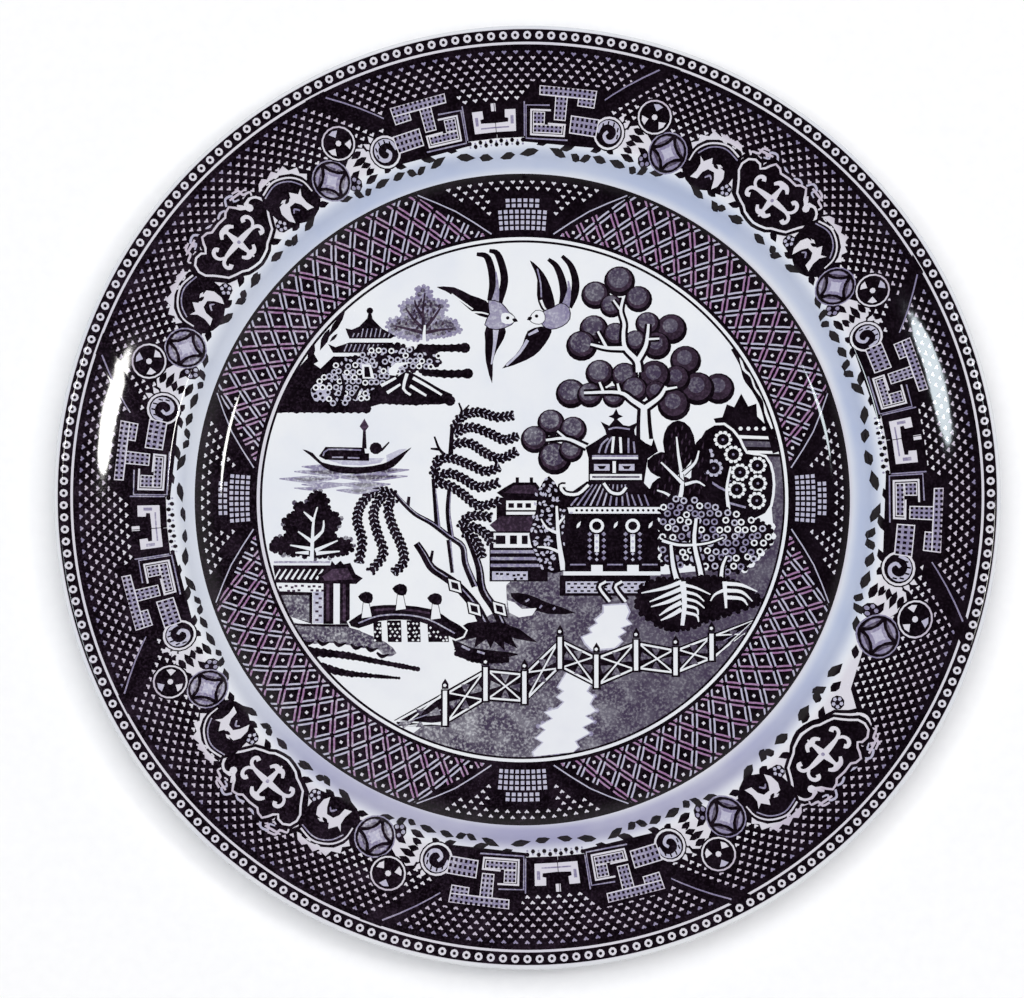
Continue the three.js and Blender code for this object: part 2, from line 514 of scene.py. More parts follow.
# %% The key blocks and the key square
stippled(54.6, 62.8, 98.8, 103.7, 6, 3)
stippled(56.6, 61.4, 106.3, 108.8, 4, 2)
stippled(56.6, 72.0, 108.5, 111.1, 12, 2)
stippled(64.2, 67.6, 102.0, 108.5, 3, 5)
lay_stroke("light", [(69.0, 105.9), (75.6, 105.8), (75.6, 96.9), (63.0, 96.9)], 0.4, cuts=1)
lay("bare", [(68.6, 104.8), (74.4, 104.8), (74.4, 97.7), (64.0, 97.7), (64.0, 101.2), (69.2, 101.2),
             (69.2, 100.7), (64.5, 100.7), (64.5, 98.2), (73.9, 98.2), (73.9, 104.3), (68.6, 104.3)])
stippled(64.8, 73.6, 98.4, 100.7, 7, 2)
stippled(70.2, 73.6, 100.7, 104.1, 3, 3)
lay("solid", box(75.9, HALF_LENGTH + 0.4, 97.2, 107.3))
lay_stroke("light", [(76.1, 106.8), (76.1, 97.5)], 0.35, cuts=1)
lay("bare", [(78.6, 104.8), (81.6, 104.8), (81.7, 102.7), (80.7, 102.5), (80.8, 101.5),
             (HALF_LENGTH + 0.2, 101.3), (HALF_LENGTH + 0.2, 98.9), (78.6, 98.9)])
lay("light", box(79.2, 80.1, 100.9, 103.2))
lay("light", box(80.6, HALF_LENGTH + 0.2, 99.9, 100.3))
lay("bare", box(HALF_LENGTH - 0.65, HALF_LENGTH + 0.2, 104.5, 106.6))
for k in range(6):
    lay("solid", circle(76.6 + 1.65 * k, 96.5 - 0.9 * (k % 2), 0.66, 6))
    lay("light", circle(76.6 + 1.65 * k, 95.5 + 0.9 * (k % 2), 0.34, 5))
print(f"half strip: {len(half)} shapes")

# %% [markdown]
# ## Bending the strip round the rim
# The tissue strips were laid by hand, so the cartouches and the key squares don't fall at even
# steps: each half is stretched or squeezed to fit between its two places. One scroll is missing,
# where two strips meet and the edge of one was trimmed short.

# %% Eight halves round the rim
STATIONS = [39.6, 81.6, 131.3, 175.5, 222.0, 265.0, 311.2, 355.0]
LIFTS = [0.0, 0.5, 1.8, 0.0, 0.0, 0.0, 0.0, 0.0]
JOIN_AT = (131.3, 81.6)
for i in range(0, 8, 2):
    for j in (i - 1, i + 1):
        start, end = STATIONS[i], STATIONS[j % 8]
        span = (end - start + 180) % 360 - 180
        for k, (finish, outline) in enumerate(half):
            if (start, end) == JOIN_AT and scroll_from <= k < scroll_to:
                continue
            bent = []
            for p in outline:
                share = p.x / HALF_LENGTH
                lift = LIFTS[i] + (LIFTS[j % 8] - LIFTS[i]) * share
                bent.append(polar(start + share * span, p.y + lift * min(1.0, max(0.0, (p.y - 92) / 4))))
            paint(finish, bent)
print(f"rim: {len(sheet)} shapes so far")

# %% [markdown]
# ## The well's border
# Round the well runs a second strip: a lattice of double ribbons over dark diamonds with a bare
# eye, and at the four quarters a stepped block of small squares between two panels of diaper. Its
# rings go down first, then the lattice, and then the blocks cover the part that they need.

# %% The well's rings and lattice
def annulus(finish, inner, outer):
    """A flat ring between two radii."""
    rim = [polar(360 * i / AROUND, outer) for i in range(AROUND + 1)]
    paint(finish, rim + [polar(360 * i / AROUND, inner) for i in range(AROUND, -1, -1)])


ring("solid", 91.0)
CELLS = 84
CELL = 360 / CELLS
ROWS = [90.6, 86.4, 82.2, 78.1, 74.2, 70.6]
EYE = 0.54


def lattice_link(at, to, finish):
    """Two short light lines side by side: one ribbon of the lattice between two crossings."""
    a, b = Vector(polar(*at)), Vector(polar(*to))
    side = Vector((a.y - b.y, b.x - a.x)).normalized()
    for shift in (-0.55, 0.55):
        low, high = a.lerp(b, 0.1) + side * shift, a.lerp(b, 0.9) + side * shift
        bulge = a.lerp(b, 0.5) + side * shift * 1.15
        thick = side * 0.25
        paint(finish,
              [low - thick, bulge - thick, high - thick, high + thick, bulge + thick, low + thick])


def in_lattice(degrees, radius):
    """True where the lattice shows, outside the slanting edges of the quarter panels."""
    off = abs((degrees + 45) % 90 - 45)
    return off > 6.9 + (radius - 72.5) * 0.84


for row, radius in enumerate(ROWS):
    for i in range(CELLS):
        middle = (i + row % 2 / 2) * CELL
        if row < 5:
            for way in (-1, 1):
                foot, tip = middle + way * CELL / 2, ROWS[row + 1]
                if in_lattice((middle + foot) / 2, (radius + tip) / 2):
                    lattice_link((middle, radius), (foot, tip), "pale" if way < 0 else "plum")
        if row > 0 and in_lattice(middle + CELL / 2, radius):
            paint("bare", circle(*polar(middle + CELL / 2, radius), EYE, 4, turn=45 - middle))
print(f"lattice: {CELLS} cells round")

# %% The four quarter panels
def in_quarter(quarter, way, degrees, radius):
    """A point given from a quarter's middle line, on one side of it or the other."""
    return polar(90 * quarter + way * degrees, radius)


for quarter in range(4):
    for way in (-1, 1):
        edge_bar = [(5.3, 72.5), (6.9, 72.5), (19.9, 88.0), (16.4, 88.0)]
        paint("solid", [in_quarter(quarter, way, *p) for p in edge_bar])
        glint = [in_quarter(quarter, way, *p) for p in [(6.6, 73.0), (13.0, 80.7), (19.0, 87.4)]]
        paint("pale", ribbon(glint, (0.35, 0.3), 2))
        for row in range(9):
            radius = 86.4 - 1.56 * row
            for i in range(12):
                off = 1.95 * i + row % 2 * 0.98 - 0.2
                edge = 4.4 + (radius - 73) * 0.78
                if off < edge - 0.9 and (radius > 83.4 or off > 6.0) and not (radius < 76 and off > 5):
                    paint("bare", heart(90 * quarter + way * off, radius, 0.82))
    for low, high, wide in [(73.3, 79.6, 5.1), (79.6, 82.6, 3.5)]:
        step = box(-wide - 0.6, wide + 0.6, low - 0.4, high + 0.8)
        paint("solid", [polar(90 * quarter + a, r) for a, r in step])
    for low, high, wide, across, up in [(73.5, 79.4, 5.0, 9, 4), (79.6, 82.4, 3.4, 6, 2)]:
        for i in range(across):
            for j in range(up):
                a = 90 * quarter - wide + 2 * wide * (i + 0.5) / across
                r = low + (high - low) * (j + 0.5) / up
                da, dr = wide / across - 0.2, (high - low) / up / 2 - 0.24
                paint("pale", [polar(a + da * p, r + dr * q) for p, q in box(-1, 1, -1, 1)])
annulus("solid", 87.7, 88.5)
annulus("bare", 88.5, 91.9)
for finish, radius in [("solid", 72.7), ("bare", 71.7), ("solid", 70.85), ("bare", 70.2)]:
    ring(finish, radius)
print(f"well border done: {len(sheet)} shapes")

# %% [markdown]
# ## The lakeside garden
# The middle of the well holds a garden by a lake, with birds, trees, pavilions, a bridge, a boat
# and a fence. The engraver of such a plate has only a few kinds of mark, so this has them too:
# flat washes, pens that swell, almonds for leaves, discs for fruit and small rings strewn over a
# bush. Each thing is drawn back to front, with its own bare edge where it crosses another.

# %% The pen, and shapes with an edge
SCENE_EDGE = 70.3
SCENE_AT = (0.4, -1.1)
SCENE_TALL = 0.98
chance = random.Random(11)


def draw(finish, outline):
    """Paints a shape, pulled back to the ring wherever it reaches past it."""
    points = [Vector((p[0] + SCENE_AT[0], p[1] * SCENE_TALL + SCENE_AT[1])) for p in outline]
    paint(finish, [p * min(1.0, SCENE_EDGE / max(p.length, 1e-6)) for p in points])


def line(finish, points, *widths, cuts=3):
    """One line of the pen."""
    draw(finish, ribbon(points, widths, cuts))


def lines(finish, drawn, *widths, cuts=2):
    """Many lines of the same pen."""
    for points in drawn:
        line(finish, points, *widths, cuts=cuts)


def blob(points, cuts=2):
    """A smooth closed outline through given points."""
    return curve(points[-1:] + points + points[:2], cuts)[cuts:-cuts - 1]


def edged(finish, outline, by=0.35):
    """A shape in one finish with a dark line round it."""
    draw("solid", grown(outline, by))
    draw(finish, outline)


# %% Marks that are strewn, and ragged edges
def strewn(outline, step, mark):
    """Lays a mark at each point of a staggered, slightly uneven grid inside an outline."""
    low_x, low_y, high_x, high_y = reach(outline)
    for row in range(int((high_y - low_y) / (step * 0.87)) + 1):
        for column in range(int((high_x - low_x) / step) + 1):
            x = low_x + (column + row % 2 / 2 + chance.uniform(-0.2, 0.2)) * step
            y = low_y + (row + chance.uniform(-0.2, 0.2)) * step * 0.87
            if held(outline, np.array([x]), np.array([y]))[0]:
                mark(x, y)


def brick(x, y):
    """A dark brick of a wall."""
    draw("solid", box(x - 0.45, x + 0.35, y - 0.3, y + 0.3))


def tile(x, y):
    """A softer dark tile."""
    draw("deep", box(x - 0.4, x + 0.4, y - 0.3, y + 0.3))


def fleck(x, y):
    """A faint upright fleck inside a dark leaf."""
    draw("deep", leaf((x, y - 0.9), (x + 0.3, y + 0.9), 0.5))


def hole(x, y):
    """A bare opening in a pierced screen."""
    draw("bare", circle(x, y, 0.38, 4))


def floret(x, y, radius=0.95, finish="bare"):
    """A small ring with a dark eye."""
    draw(finish, circle(x, y, radius, 8))
    draw("solid", circle(x, y, radius * 0.56, 6))


def bloom(x, y):
    """A floret, or a leaf in its place now and then."""
    if chance.random() < 0.72:
        floret(x, y, 0.87, chance.choice(["bare", "pale", "pale"]))
    else:
        sprig(x, y)


def fringed(finish, outline, size, step=1.3):
    """Lumps of uneven size along an outline, so that its edge is ragged."""
    points = [Vector(p) for p in outline]
    for a, b in zip(points, points[1:] + points[:1]):
        count = max(1, round((b - a).length / step))
        for k in range(count):
            spot = a.lerp(b, k / count)
            draw(finish, circle(spot.x + chance.uniform(-0.2, 0.2), spot.y + chance.uniform(-0.2, 0.2),
                                size * chance.uniform(0.75, 1.15), 7))


def berry(x, y):
    """A floret in any of the lighter tones."""
    floret(x, y, 0.98, chance.choice(["bare", "pale", "light"]))


def sprig(x, y):
    """A tiny bare leaf lying any way."""
    a = chance.uniform(0, math.tau)
    tip = (x + 1.25 * math.cos(a), y + 1.25 * math.sin(a))
    draw("pale", leaf((x, y), tip, 0.75))


# %% Shoots and bars of ground
def frond(points, wide=1.15):
    """A trailing shoot: a dark band with a lobed edge and pairs of fine light nicks."""
    line("solid", points, wide * 1.7, wide * 2.1, wide * 1.7)
    gone = step = wide * 1.05
    stem = curve(points, 12)
    for a, b in zip(stem, stem[1:]):
        gone += (b - a).length
        if gone < step:
            continue
        gone = 0.0
        ahead = (b - a).normalized()
        across = Vector((-ahead.y, ahead.x))
        for side in (-wide, wide):
            edge = b + across * side * 0.84
            draw("solid", circle(edge.x, edge.y, wide * 0.5, 6))
            low, high = b + across * side * 0.22, b + across * side * 0.8 + ahead * 0.5
            draw("pale", [low - ahead * 0.14, high - ahead * 0.1, high + ahead * 0.1, low + ahead * 0.14])


def bar(points, thick, end=None):
    """A dark bar of ground: a row of overlapping lumps, thick at its start."""
    end = end or thick
    line("solid", points, thick * 0.8, end * 0.8, cuts=4)
    path = curve(points, 12)
    gone = thick
    for k, (a, b) in enumerate(zip(path, path[1:])):
        gone += (b - a).length
        now = thick + (end - thick) * k / len(path)
        if gone > now * 0.62:
            gone = 0.0
            draw("solid", circle(b.x, b.y, now * chance.uniform(0.46, 0.56), 8))


def arc_of_ring(start, end, steps=24):
    """Points along the garden's ring, between two angles clockwise from the top."""
    return [polar(start + (end - start) * i / steps, SCENE_EDGE * 1.06) for i in range(steps + 1)]


def tell(what):
    """Says how many shapes the sheet has now."""
    print(f"{what}: {len(sheet)} shapes")


# %% [markdown]
# ### The near bank
# The ground is a flat wash of fine engraving, and the path is left bare in it with small teeth
# along its edges. The wash could be cut round the path, but it's simpler to paint the path over
# it, with a soft fringe first, since a real wash fades a little where it stops.

# %% The near bank and its path
draw("middle", [(-30, -64.6), (-21, -57), (-10.6, -49), (-11.8, -44.2), (-16.8, -42.4), (-20, -37),
                (-13, -33.2), (-4.6, -29), (-4.8, -23), (-3, -21.4), (1.2, -19.6), (9.7, -18.8),
                (38, -20), (58, -18), (62, -15.4), (65.4, -13), (67.4, -9), (66.9, -3), (66.3, 6),
                (65.6, 13.6)] + arc_of_ring(79, 205, 50))
FAR_PATH = [(27.5, -28.2), (21.3, -28.6), (21.3, -30.6), (19.0, -32.6), (19.6, -33.6), (17.4, -35.0),
            (18.2, -36.2), (15.4, -37.4), (16.4, -39.3), (18.2, -41.1), (24.4, -40.6), (26.5, -38.6),
            (25.4, -37.3), (27.4, -36), (26.2, -34.9), (29.0, -33.8), (27.6, -32.4), (28.5, -30.4)]
NEAR_PATH = [(11.5, -47), (8.9, -51.3), (10.6, -52.4), (8.7, -54), (10.6, -55.4), (9, -57), (5.5, -58.2),
             (7.5, -60), (4.0, -62), (5.6, -63.1), (3.0, -65.4), (5, -66.6), (2.2, -69.3), (2.7, -70.6),
             (13.3, -69.6), (14.8, -67.8), (13.8, -66.3), (17.8, -64), (15.8, -62.4), (18.9, -60.8),
             (16.6, -59.3), (19.4, -57.9), (17.8, -56), (18.9, -53.9), (17, -52.4), (18.2, -50.4)]
for path in (FAR_PATH, NEAR_PATH):
    fringed("light", path, 0.75, 1.6)
    draw("pale", grown(path, 0.25))
    draw("bare", grown(path, -0.25))
draw("solid", blob([(-3.6, -25.2), (1.2, -25.6), (6.2, -27.8), (13.8, -30.7), (6.4, -31), (1.2, -29.2),
                    (-2.3, -27.4)]))
lines("light",
      [[(0.4, -27.6), (1.4, -26.9)], [(4.2, -29.4), (4.8, -28.6)], [(7.8, -29.8), (8.4, -29.2)]], 0.5)
draw("bare", [(-4.5, -27.2), (-2.6, -27.8), (-0.6, -29.6), (3.4, -29.4), (2.2, -31.4), (-1.4, -32),
              (-4, -30.6)])
tell("near bank")

# %% [markdown]
# ### The far island
# Islands lie on the water as dark bars with scalloped edges. One tree is drawn in a lighter tone
# than the rest, which makes it look far away. The bushes are dark lumps with florets strewn over
# them, and the rocks are bare strokes on solid ink.

# %% The island's ground
draw("solid", [(-67.4, 25.2), (-66.2, 32), (-61.6, 38.4), (-57, 38.8), (-55, 37.4), (-51.6, 40.8),
               (-46, 41.5), (-36, 42), (-33, 38), (-37, 28), (-42, 26.5)])
bar([(-66.8, 26.2), (-54, 26.1), (-41.6, 26.2)], 2.6)
bar([(-28.4, 43.2), (-22, 43.1), (-16.2, 43.2)], 2.4)
bar([(-27.2, 36.4), (-21, 35.9), (-15.4, 36)], 2.5)
for x, y in [(-16, 43.2), (-15.2, 36), (-20, 28.4)]:
    draw("solid", circle(x, y, 1.5, 10))
tell("island's ground")

# %% The light tree
def tuft_shade(x, y):
    """A soft round shade in the tree's leaves."""
    draw("middle", circle(x, y, 0.72, 6))


def tuft_leaf(x, y):
    """A small dark leaf."""
    draw("deep", leaf((x, y - 0.6), (x + 0.5, y + 0.7), 0.7))


fluffy = [(-27.1, 60.4), (-24.9, 59), (-25.3, 56.9), (-21.2, 56.2), (-21.0, 53.8), (-22.4, 52.4),
          (-18.7, 50.7), (-17.1, 48.2), (-18.9, 46.9), (-24.9, 45.8), (-29.9, 45.3), (-34.9, 46.8),
          (-37.2, 49.1), (-36.1, 51.2), (-33.1, 52), (-33.7, 54.8), (-31.5, 56.7), (-29.2, 57.6),
          (-29.2, 59.5)]
draw("light", blob(fluffy))
fringed("light", blob(fluffy), 0.55, 1.1)
strewn(grown(blob(fluffy), -0.9), 1.25, tuft_shade)
strewn(grown(blob(fluffy), -1.5), 1.9, tuft_leaf)
lines("deep", [[(-27, 47.5), (-27.4, 53), (-26.8, 58.6)], [(-27, 48.5), (-24.4, 51.6), (-22.4, 54.8)],
               [(-27, 47.4), (-23, 48.2), (-19.2, 48.6)], [(-27.2, 48.5), (-30, 51.4), (-32, 54.4)],
               [(-27.2, 47.4), (-31, 48.4), (-35.4, 49.4)], [(-27.2, 52), (-29, 54.4), (-29.6, 56.6)]],
      1.1, 0.4)
line("bare", [(-27, 44.6), (-27, 47.2), (-26.8, 49.6)], 1.1, 0.5)
tell("light tree")

# %% The island's pavilion
draw("solid", circle(-41.7, 53.6, 0.95, 8))
line("solid", [(-41.7, 53), (-41.7, 50.6)], 0.8, 1.8, cuts=1)
draw("solid", [(-48.3, 48.7), (-46.6, 48.3), (-44.6, 49.2), (-42.3, 51.6), (-41.2, 51.6), (-38.4, 48.6),
               (-34.8, 46.6), (-36, 45.8), (-47.2, 45.8), (-47.8, 47.2)])
draw("bare", box(-46.6, -36.6, 44.9, 45.7))
draw("solid", [(-53, 44.3), (-51, 43.4), (-47.2, 44.7), (-35.4, 44.7), (-35.6, 41.8), (-51.6, 41.8)])
draw("bare", box(-51.2, -40.6, 40.8, 41.5))
for i in range(9):
    x = -46.4 + i * 1.2
    line("light", [(x + 0.5, 48.6 if 1 < i < 7 else 47.3), (x, 46.2)], 0.3, cuts=1)
    line("light", [(x - 1.4, 44.2), (x - 2.2, 42.2)], 0.3, cuts=1)
tell("island's pavilion")

# %% The island's shrubs and rocks
shrubs = blob([(-56.8, 31.4), (-54, 35.4), (-51, 39), (-45.6, 40.4), (-40, 43.4), (-34, 43.8),
               (-29, 42.6), (-24, 42), (-22.6, 39), (-28, 36.8), (-35, 36.4), (-38.4, 31.4),
               (-42, 28.8), (-48, 27.8), (-55, 28)])
draw("solid", shrubs)
draw("pale", blob([(-57.6, 31.6), (-55.4, 33.4), (-52.6, 31.6), (-53.4, 28.2), (-56.6, 28.4)]))
fringed("solid", shrubs, 0.8, 1.6)
strewn(shrubs, 1.72, bloom)
lines("solid", [[(-49.4, 28.6), (-48.6, 32.4), (-49.6, 36)], [(-46, 28.8), (-44.4, 32)]], 1.2, 0.6)
draw("bare", [(-43.9, 38.6), (-41.4, 38.4), (-40.4, 34.6), (-43.6, 34.6)])
draw("solid", [(-43.2, 37.9), (-41.9, 37.9), (-41.4, 35), (-43.1, 35)])
draw("bare", [(-36.6, 37.2), (-34.6, 39), (-30.4, 39.2), (-33.8, 37.8), (-34.6, 35.4), (-36.4, 35.6)])
draw("solid", [(-41.4, 31.2), (-34.4, 35), (-31.6, 36.9), (-26.7, 34.2), (-22.6, 31.7), (-19.4, 30.2),
               (-19.2, 28), (-23, 27.3), (-41.4, 27.6)])
bar([(-40.8, 28.6), (-30, 28), (-20.4, 28.6)], 2.0)
lines("bare", [[(-38.6, 32.6), (-34.6, 34.8)], [(-37, 30.6), (-33.4, 33)],
               [(-31.6, 36), (-32.6, 31.8), (-30.6, 30)], [(-30, 34.8), (-25.6, 32.2), (-22.2, 30)],
               [(-30.8, 32.6), (-26.4, 29.8)]], 0.9, 0.6)
draw("solid", leaf((-48.4, 53.6), (-53.2, 45.8), 1.7))
draw("solid", leaf((-52.6, 48.6), (-55.2, 42.4), 1.9))
draw("solid", leaf((-56.6, 44), (-58.6, 39), 1.7))
draw("solid", leaf((-50.4, 47.2), (-52.6, 44.8), 0.9))
draw("solid", [(-57, 42), (-55.6, 39.4), (-58, 38), (-61.4, 38.2)])
tell("island")

# %% [markdown]
# ### Two birds
# Each bird is two long tail feathers, two wings and a small body, all solid ink with a little
# light line work. The body comes last, with a dark edge, so that the feathers seem to grow
# out from under it.

# %% The left bird
left_tail = [[(-9.0, 56.4), (-8.4, 61), (-8.9, 65.6), (-10.2, 68.9), (-12.8, 69.5)],
             [(-6.8, 56), (-5.4, 61), (-5.6, 65), (-7.2, 69.6), (-9.4, 70.5)]]
lines("solid", left_tail, 2.0, 2.1, 1.9, 1.0, cuts=4)
line("light", [(-7.9, 55.6), (-7.2, 60.4), (-7.6, 64.6)], 2.2, 0.9, 0.3)
draw("solid", blob([(-23.7, 60.3), (-18.9, 60.2), (-14.4, 58), (-10.3, 56.4), (-8.2, 53.6),
                    (-8.8, 51.6), (-12.1, 52.2), (-14.8, 54), (-18.0, 56.9), (-21.2, 59.1)]))
lines("bare",
      [[(-19.6, 58.3), (-16.6, 56.1), (-13.8, 54.0)], [(-14.2, 53.2), (-11.6, 53.1), (-9.6, 52.6)]],
      0.5, 0.4)
draw("solid", blob([(-10.2, 49.2), (-10.5, 44.9), (-10.3, 39.4), (-8.6, 33.2), (-8.4, 39.2),
                    (-7.3, 42.5), (-5.4, 45.9), (-5.2, 49.0)]))
line("pale", [(-7.6, 48.6), (-7.9, 44.4), (-8.8, 38.6)], 1.6, 0.9, 0.4)
edged("light", blob([(-9.5, 56.4), (-6.1, 55.6), (-4.2, 53.2), (-2.6, 51.7), (-3.4, 49.8), (-7.5, 48.4),
                     (-10.5, 49.7), (-9.2, 52.7)]), 0.25)
draw("bare", blob([(-6, 52.8), (-3.8, 52.8), (-2.3, 51.2), (-3.8, 49.9), (-6, 50.4)]))
draw("solid", circle(-4.4, 51.6, 0.5, 7))
draw("solid", leaf((-3.2, 51.3), (-1.6, 50.6), 1.1))
tell("left bird")

# %% The right bird
right_tail = [[(10.3, 55), (10.8, 58.6), (10.2, 62.6), (8.7, 66.2), (6.6, 68.1)],
              [(12.1, 54.6), (13.7, 58.4), (13.9, 62.4), (12.6, 66.4), (10.3, 69)]]
lines("solid", right_tail, 1.9, 2.2, 1.8, 1.0, cuts=4)
line("light", [(11, 54), (12.2, 59), (12, 62)], 2.4, 1.1, 0.4)
draw("solid", blob([(1.6, 67.8), (4.2, 65.6), (6.3, 62.5), (7.9, 58), (8.4, 54), (6.8, 52.1), (4.5, 54.4),
                    (3.5, 58), (3.6, 62.2), (2.7, 65.2)]))
lines("bare", [[(4.6, 56.6), (5.4, 54.6), (6.6, 53.2)]], 0.7, 0.4)
lines("light", [[(3.6, 65.4), (4.5, 61.4), (4.7, 57.4)]], 0.4)
draw("solid", blob([(1.0, 47.9), (4.7, 49.2), (7.4, 48.7), (6.9, 46.2), (4.2, 42.3), (0.7, 39.8),
                    (-5.9, 37.4), (-2.3, 41.2), (-0.3, 44.3)]))
lines("pale", [[(-4.8, 38.2), (-1.2, 41.8), (1, 45.4)], [(1.2, 46.8), (3.8, 48.2)]], 0.6, 0.9)
edged("light", blob([(4.7, 52.9), (7.7, 54.3), (10.0, 55.6), (12.1, 54.4), (12.3, 51.3), (10.2, 49.3),
                     (7.2, 48.5), (5.0, 49.8)]), 0.25)
edged("bare", blob([(1.6, 51.6), (3.2, 53.6), (5.2, 53.2), (5.6, 51), (4.2, 49.9), (2.2, 50.4)]), 0.2)
draw("solid", circle(3.4, 52.1, 0.5, 7))
draw("solid", leaf((2.2, 51.8), (0.8, 51.0), 1.1))
tell("birds")

# %% [markdown]
# ### The fruit tree
# Every fruit is three discs, one on another: solid ink, a deep one moved up a little, and a
# lighter one moved further. The shift makes them look round, as the engraver's shading does. The
# branches go over the fruit as bare lines with a dark edge.

# %% The fruit tree
FRUIT = [(25.8, 62.2, 4.1), (19.3, 58.3, 3.8), (30.9, 57.2, 3.6), (23.6, 55.2, 3.1), (18.8, 48.8, 3.8),
         (15.5, 44.1, 4.1), (24.7, 47.2, 3.3), (39.8, 48.8, 4.1), (33.4, 50.2, 3.3), (30.1, 45.4, 3.0),
         (35.8, 44.1, 3.8), (43.6, 39.9, 4.1), (20.4, 36.3, 3.8), (27.1, 35.7, 3.6), (12.6, 30.7, 4.0),
         (17.7, 30.3, 3.4), (24.2, 29.8, 3.0), (52.5, 32.1, 4.2), (46.8, 32.1, 4.5), (41.2, 34.9, 3.6),
         (35.2, 35.7, 4.2), (29.8, 31.8, 3.6), (35.6, 31.2, 3.0), (40.4, 27.6, 4.3),
         (7.2, 22.6, 3.6), (2.8, 17.9, 3.7), (13.2, 20.6, 3.6), (8.2, 12.6, 4.4), (12.6, 14.8, 3.2)]
for x, y, r in FRUIT:
    draw("solid", circle(x + 0.1, y - 0.35, r * 1.04, 18))
    draw("deep", circle(x, y - 0.2 + 0.09 * r, r * 0.86, 16))
    draw("middle", circle(x - 0.05 * r, y - 0.2 + 0.2 * r, r * (0.7 if x < 34 else 0.5), 14))
TRUNK = [([(32.6, 17.6), (32.4, 22), (32.4, 26.6)], 3.8, 2.6),
         ([(32.4, 26.2), (36.6, 29.4), (38.4, 32.4)], 2.2, 1.2),
         ([(32.4, 26.4), (29.4, 28.4), (25.7, 30.7), (16.2, 30.6)], 2.2, 1.1),
         ([(25.9, 30.6), (25.3, 33.2)], 1.3, 0.9), ([(21.4, 31), (20.4, 33.6)], 1.2, 0.9),
         ([(38.2, 31.6), (41.4, 32.2)], 1.2, 0.8),
         ([(31.0, 36.4), (30.5, 39.6), (27.4, 43.2), (26.9, 47), (27.1, 50), (26.2, 53.6),
           (26.9, 57.2)], 2.4, 1.5, 1.1),
         ([(30.6, 39.4), (32.8, 43.4), (33.4, 46.6), (33.7, 49.9)], 2.0, 1.0),
         ([(33.2, 45.6), (36.6, 45.8)], 1.0, 0.8), ([(27.5, 43.1), (22.4, 43.2), (18, 44.2)], 1.9, 1.0),
         ([(22.4, 43.2), (20, 47.8)], 1.3, 0.9), ([(26.4, 53.4), (24.2, 56.6)], 1.0, 0.8),
         ([(17, 15.4), (11.4, 17.8), (5.9, 17.4)], 1.6, 1.0), ([(11.6, 17.6), (9, 19.9)], 1.1, 0.8)]
for points, *widths in TRUNK:
    line("solid", points, *[w + 0.9 for w in widths], cuts=4)
for points, *widths in TRUNK:
    line("bare", points, *[w * 0.62 for w in widths], cuts=4)
tell("fruit tree")

# %% [markdown]
# ### The pavilions
# A building is drawn from the back to the front and from the top down: a solid block, and then
# its roof lines, windows, columns and wall in bare and light strokes. Straight edges are plain
# boxes here, and what repeats along a roof or a wall is a loop.

# %% The lesser pavilion, behind
for low, high, left, right in [(-22, 1.4, -7.4, 5.4), (-22, -8, -9.3, 6.4)]:
    draw("solid", box(left, right, low, high))
draw("solid", [(-7.4, 2.7), (-5.2, 4.2), (-2.8, 5.6), (3.2, 5.6), (5.4, 2.6), (5.6, 1.2), (-5.4, 1.2)])
draw("deep", [(-5.4, 2.6), (-2.6, 4.8), (2.8, 4.8), (4.4, 2.4)])
lines("solid", [[(-1.8, 5.2), (-1.8, 7)], [(2.0, 5.2), (2.0, 7)]], 0.9)
draw("bare", box(-4.8, 4.4, -3.4, 0.5))
for x in (-4.2, -1.9, 0.4, 2.7):
    draw("solid", box(x, x + 1.5, -1.5, -0.2))
draw("solid", box(-5, 4.6, -2.6, -2.1))
draw("deep", [(-9.3, -6.3), (-6.4, -3.9), (3.4, -3.9), (4.4, -8), (-7.6, -8)])
draw("bare", box(-8.2, 4, -12.6, -8.5))
for x, wide in [(-7.6, 2.6), (-3.8, 1.9), (-0.6, 1.6), (2.2, 1.6)]:
    draw("solid", box(x, x + wide, -11.6, -9.2))
for y in (-13.7, -15.6, -17.5):
    draw("light", box(-9, 5.4, y - 0.45, y + 0.4))
draw("pale", box(-8.6, 1, -21.6, -19.2))
strewn([Vector(p) for p in box(-8.2, 0.8, -21.4, -19)], 1.5, brick)
tell("lesser pavilion")

# %% The thicket between the pavilions
thicket = blob([(6.7, 7.4), (9.4, 3.6), (11.4, -0.4), (12.6, -6), (12.4, -14), (10.4, -19.2), (5.2, -19),
                (2.8, -14), (1.4, -9), (3.2, -2.4), (3.8, 3)])
draw("solid", thicket)
strewn(thicket, 1.45, sprig)
line("solid", [(10.6, -18.6), (9.3, -10), (8.8, -1)], 2.6, 1.4)
line("bare", [(10.6, -18.8), (9.3, -10), (8.8, -1)], 1.5, 0.6)
lines("bare", [[(9.3, -8.6), (6.2, -7.2), (4.6, -4.6)], [(9.9, -14), (6.6, -12.6), (3.6, -12.4)],
               [(9.2, -6), (11.2, -3.6)]], 0.9, 0.4)
tell("thicket")

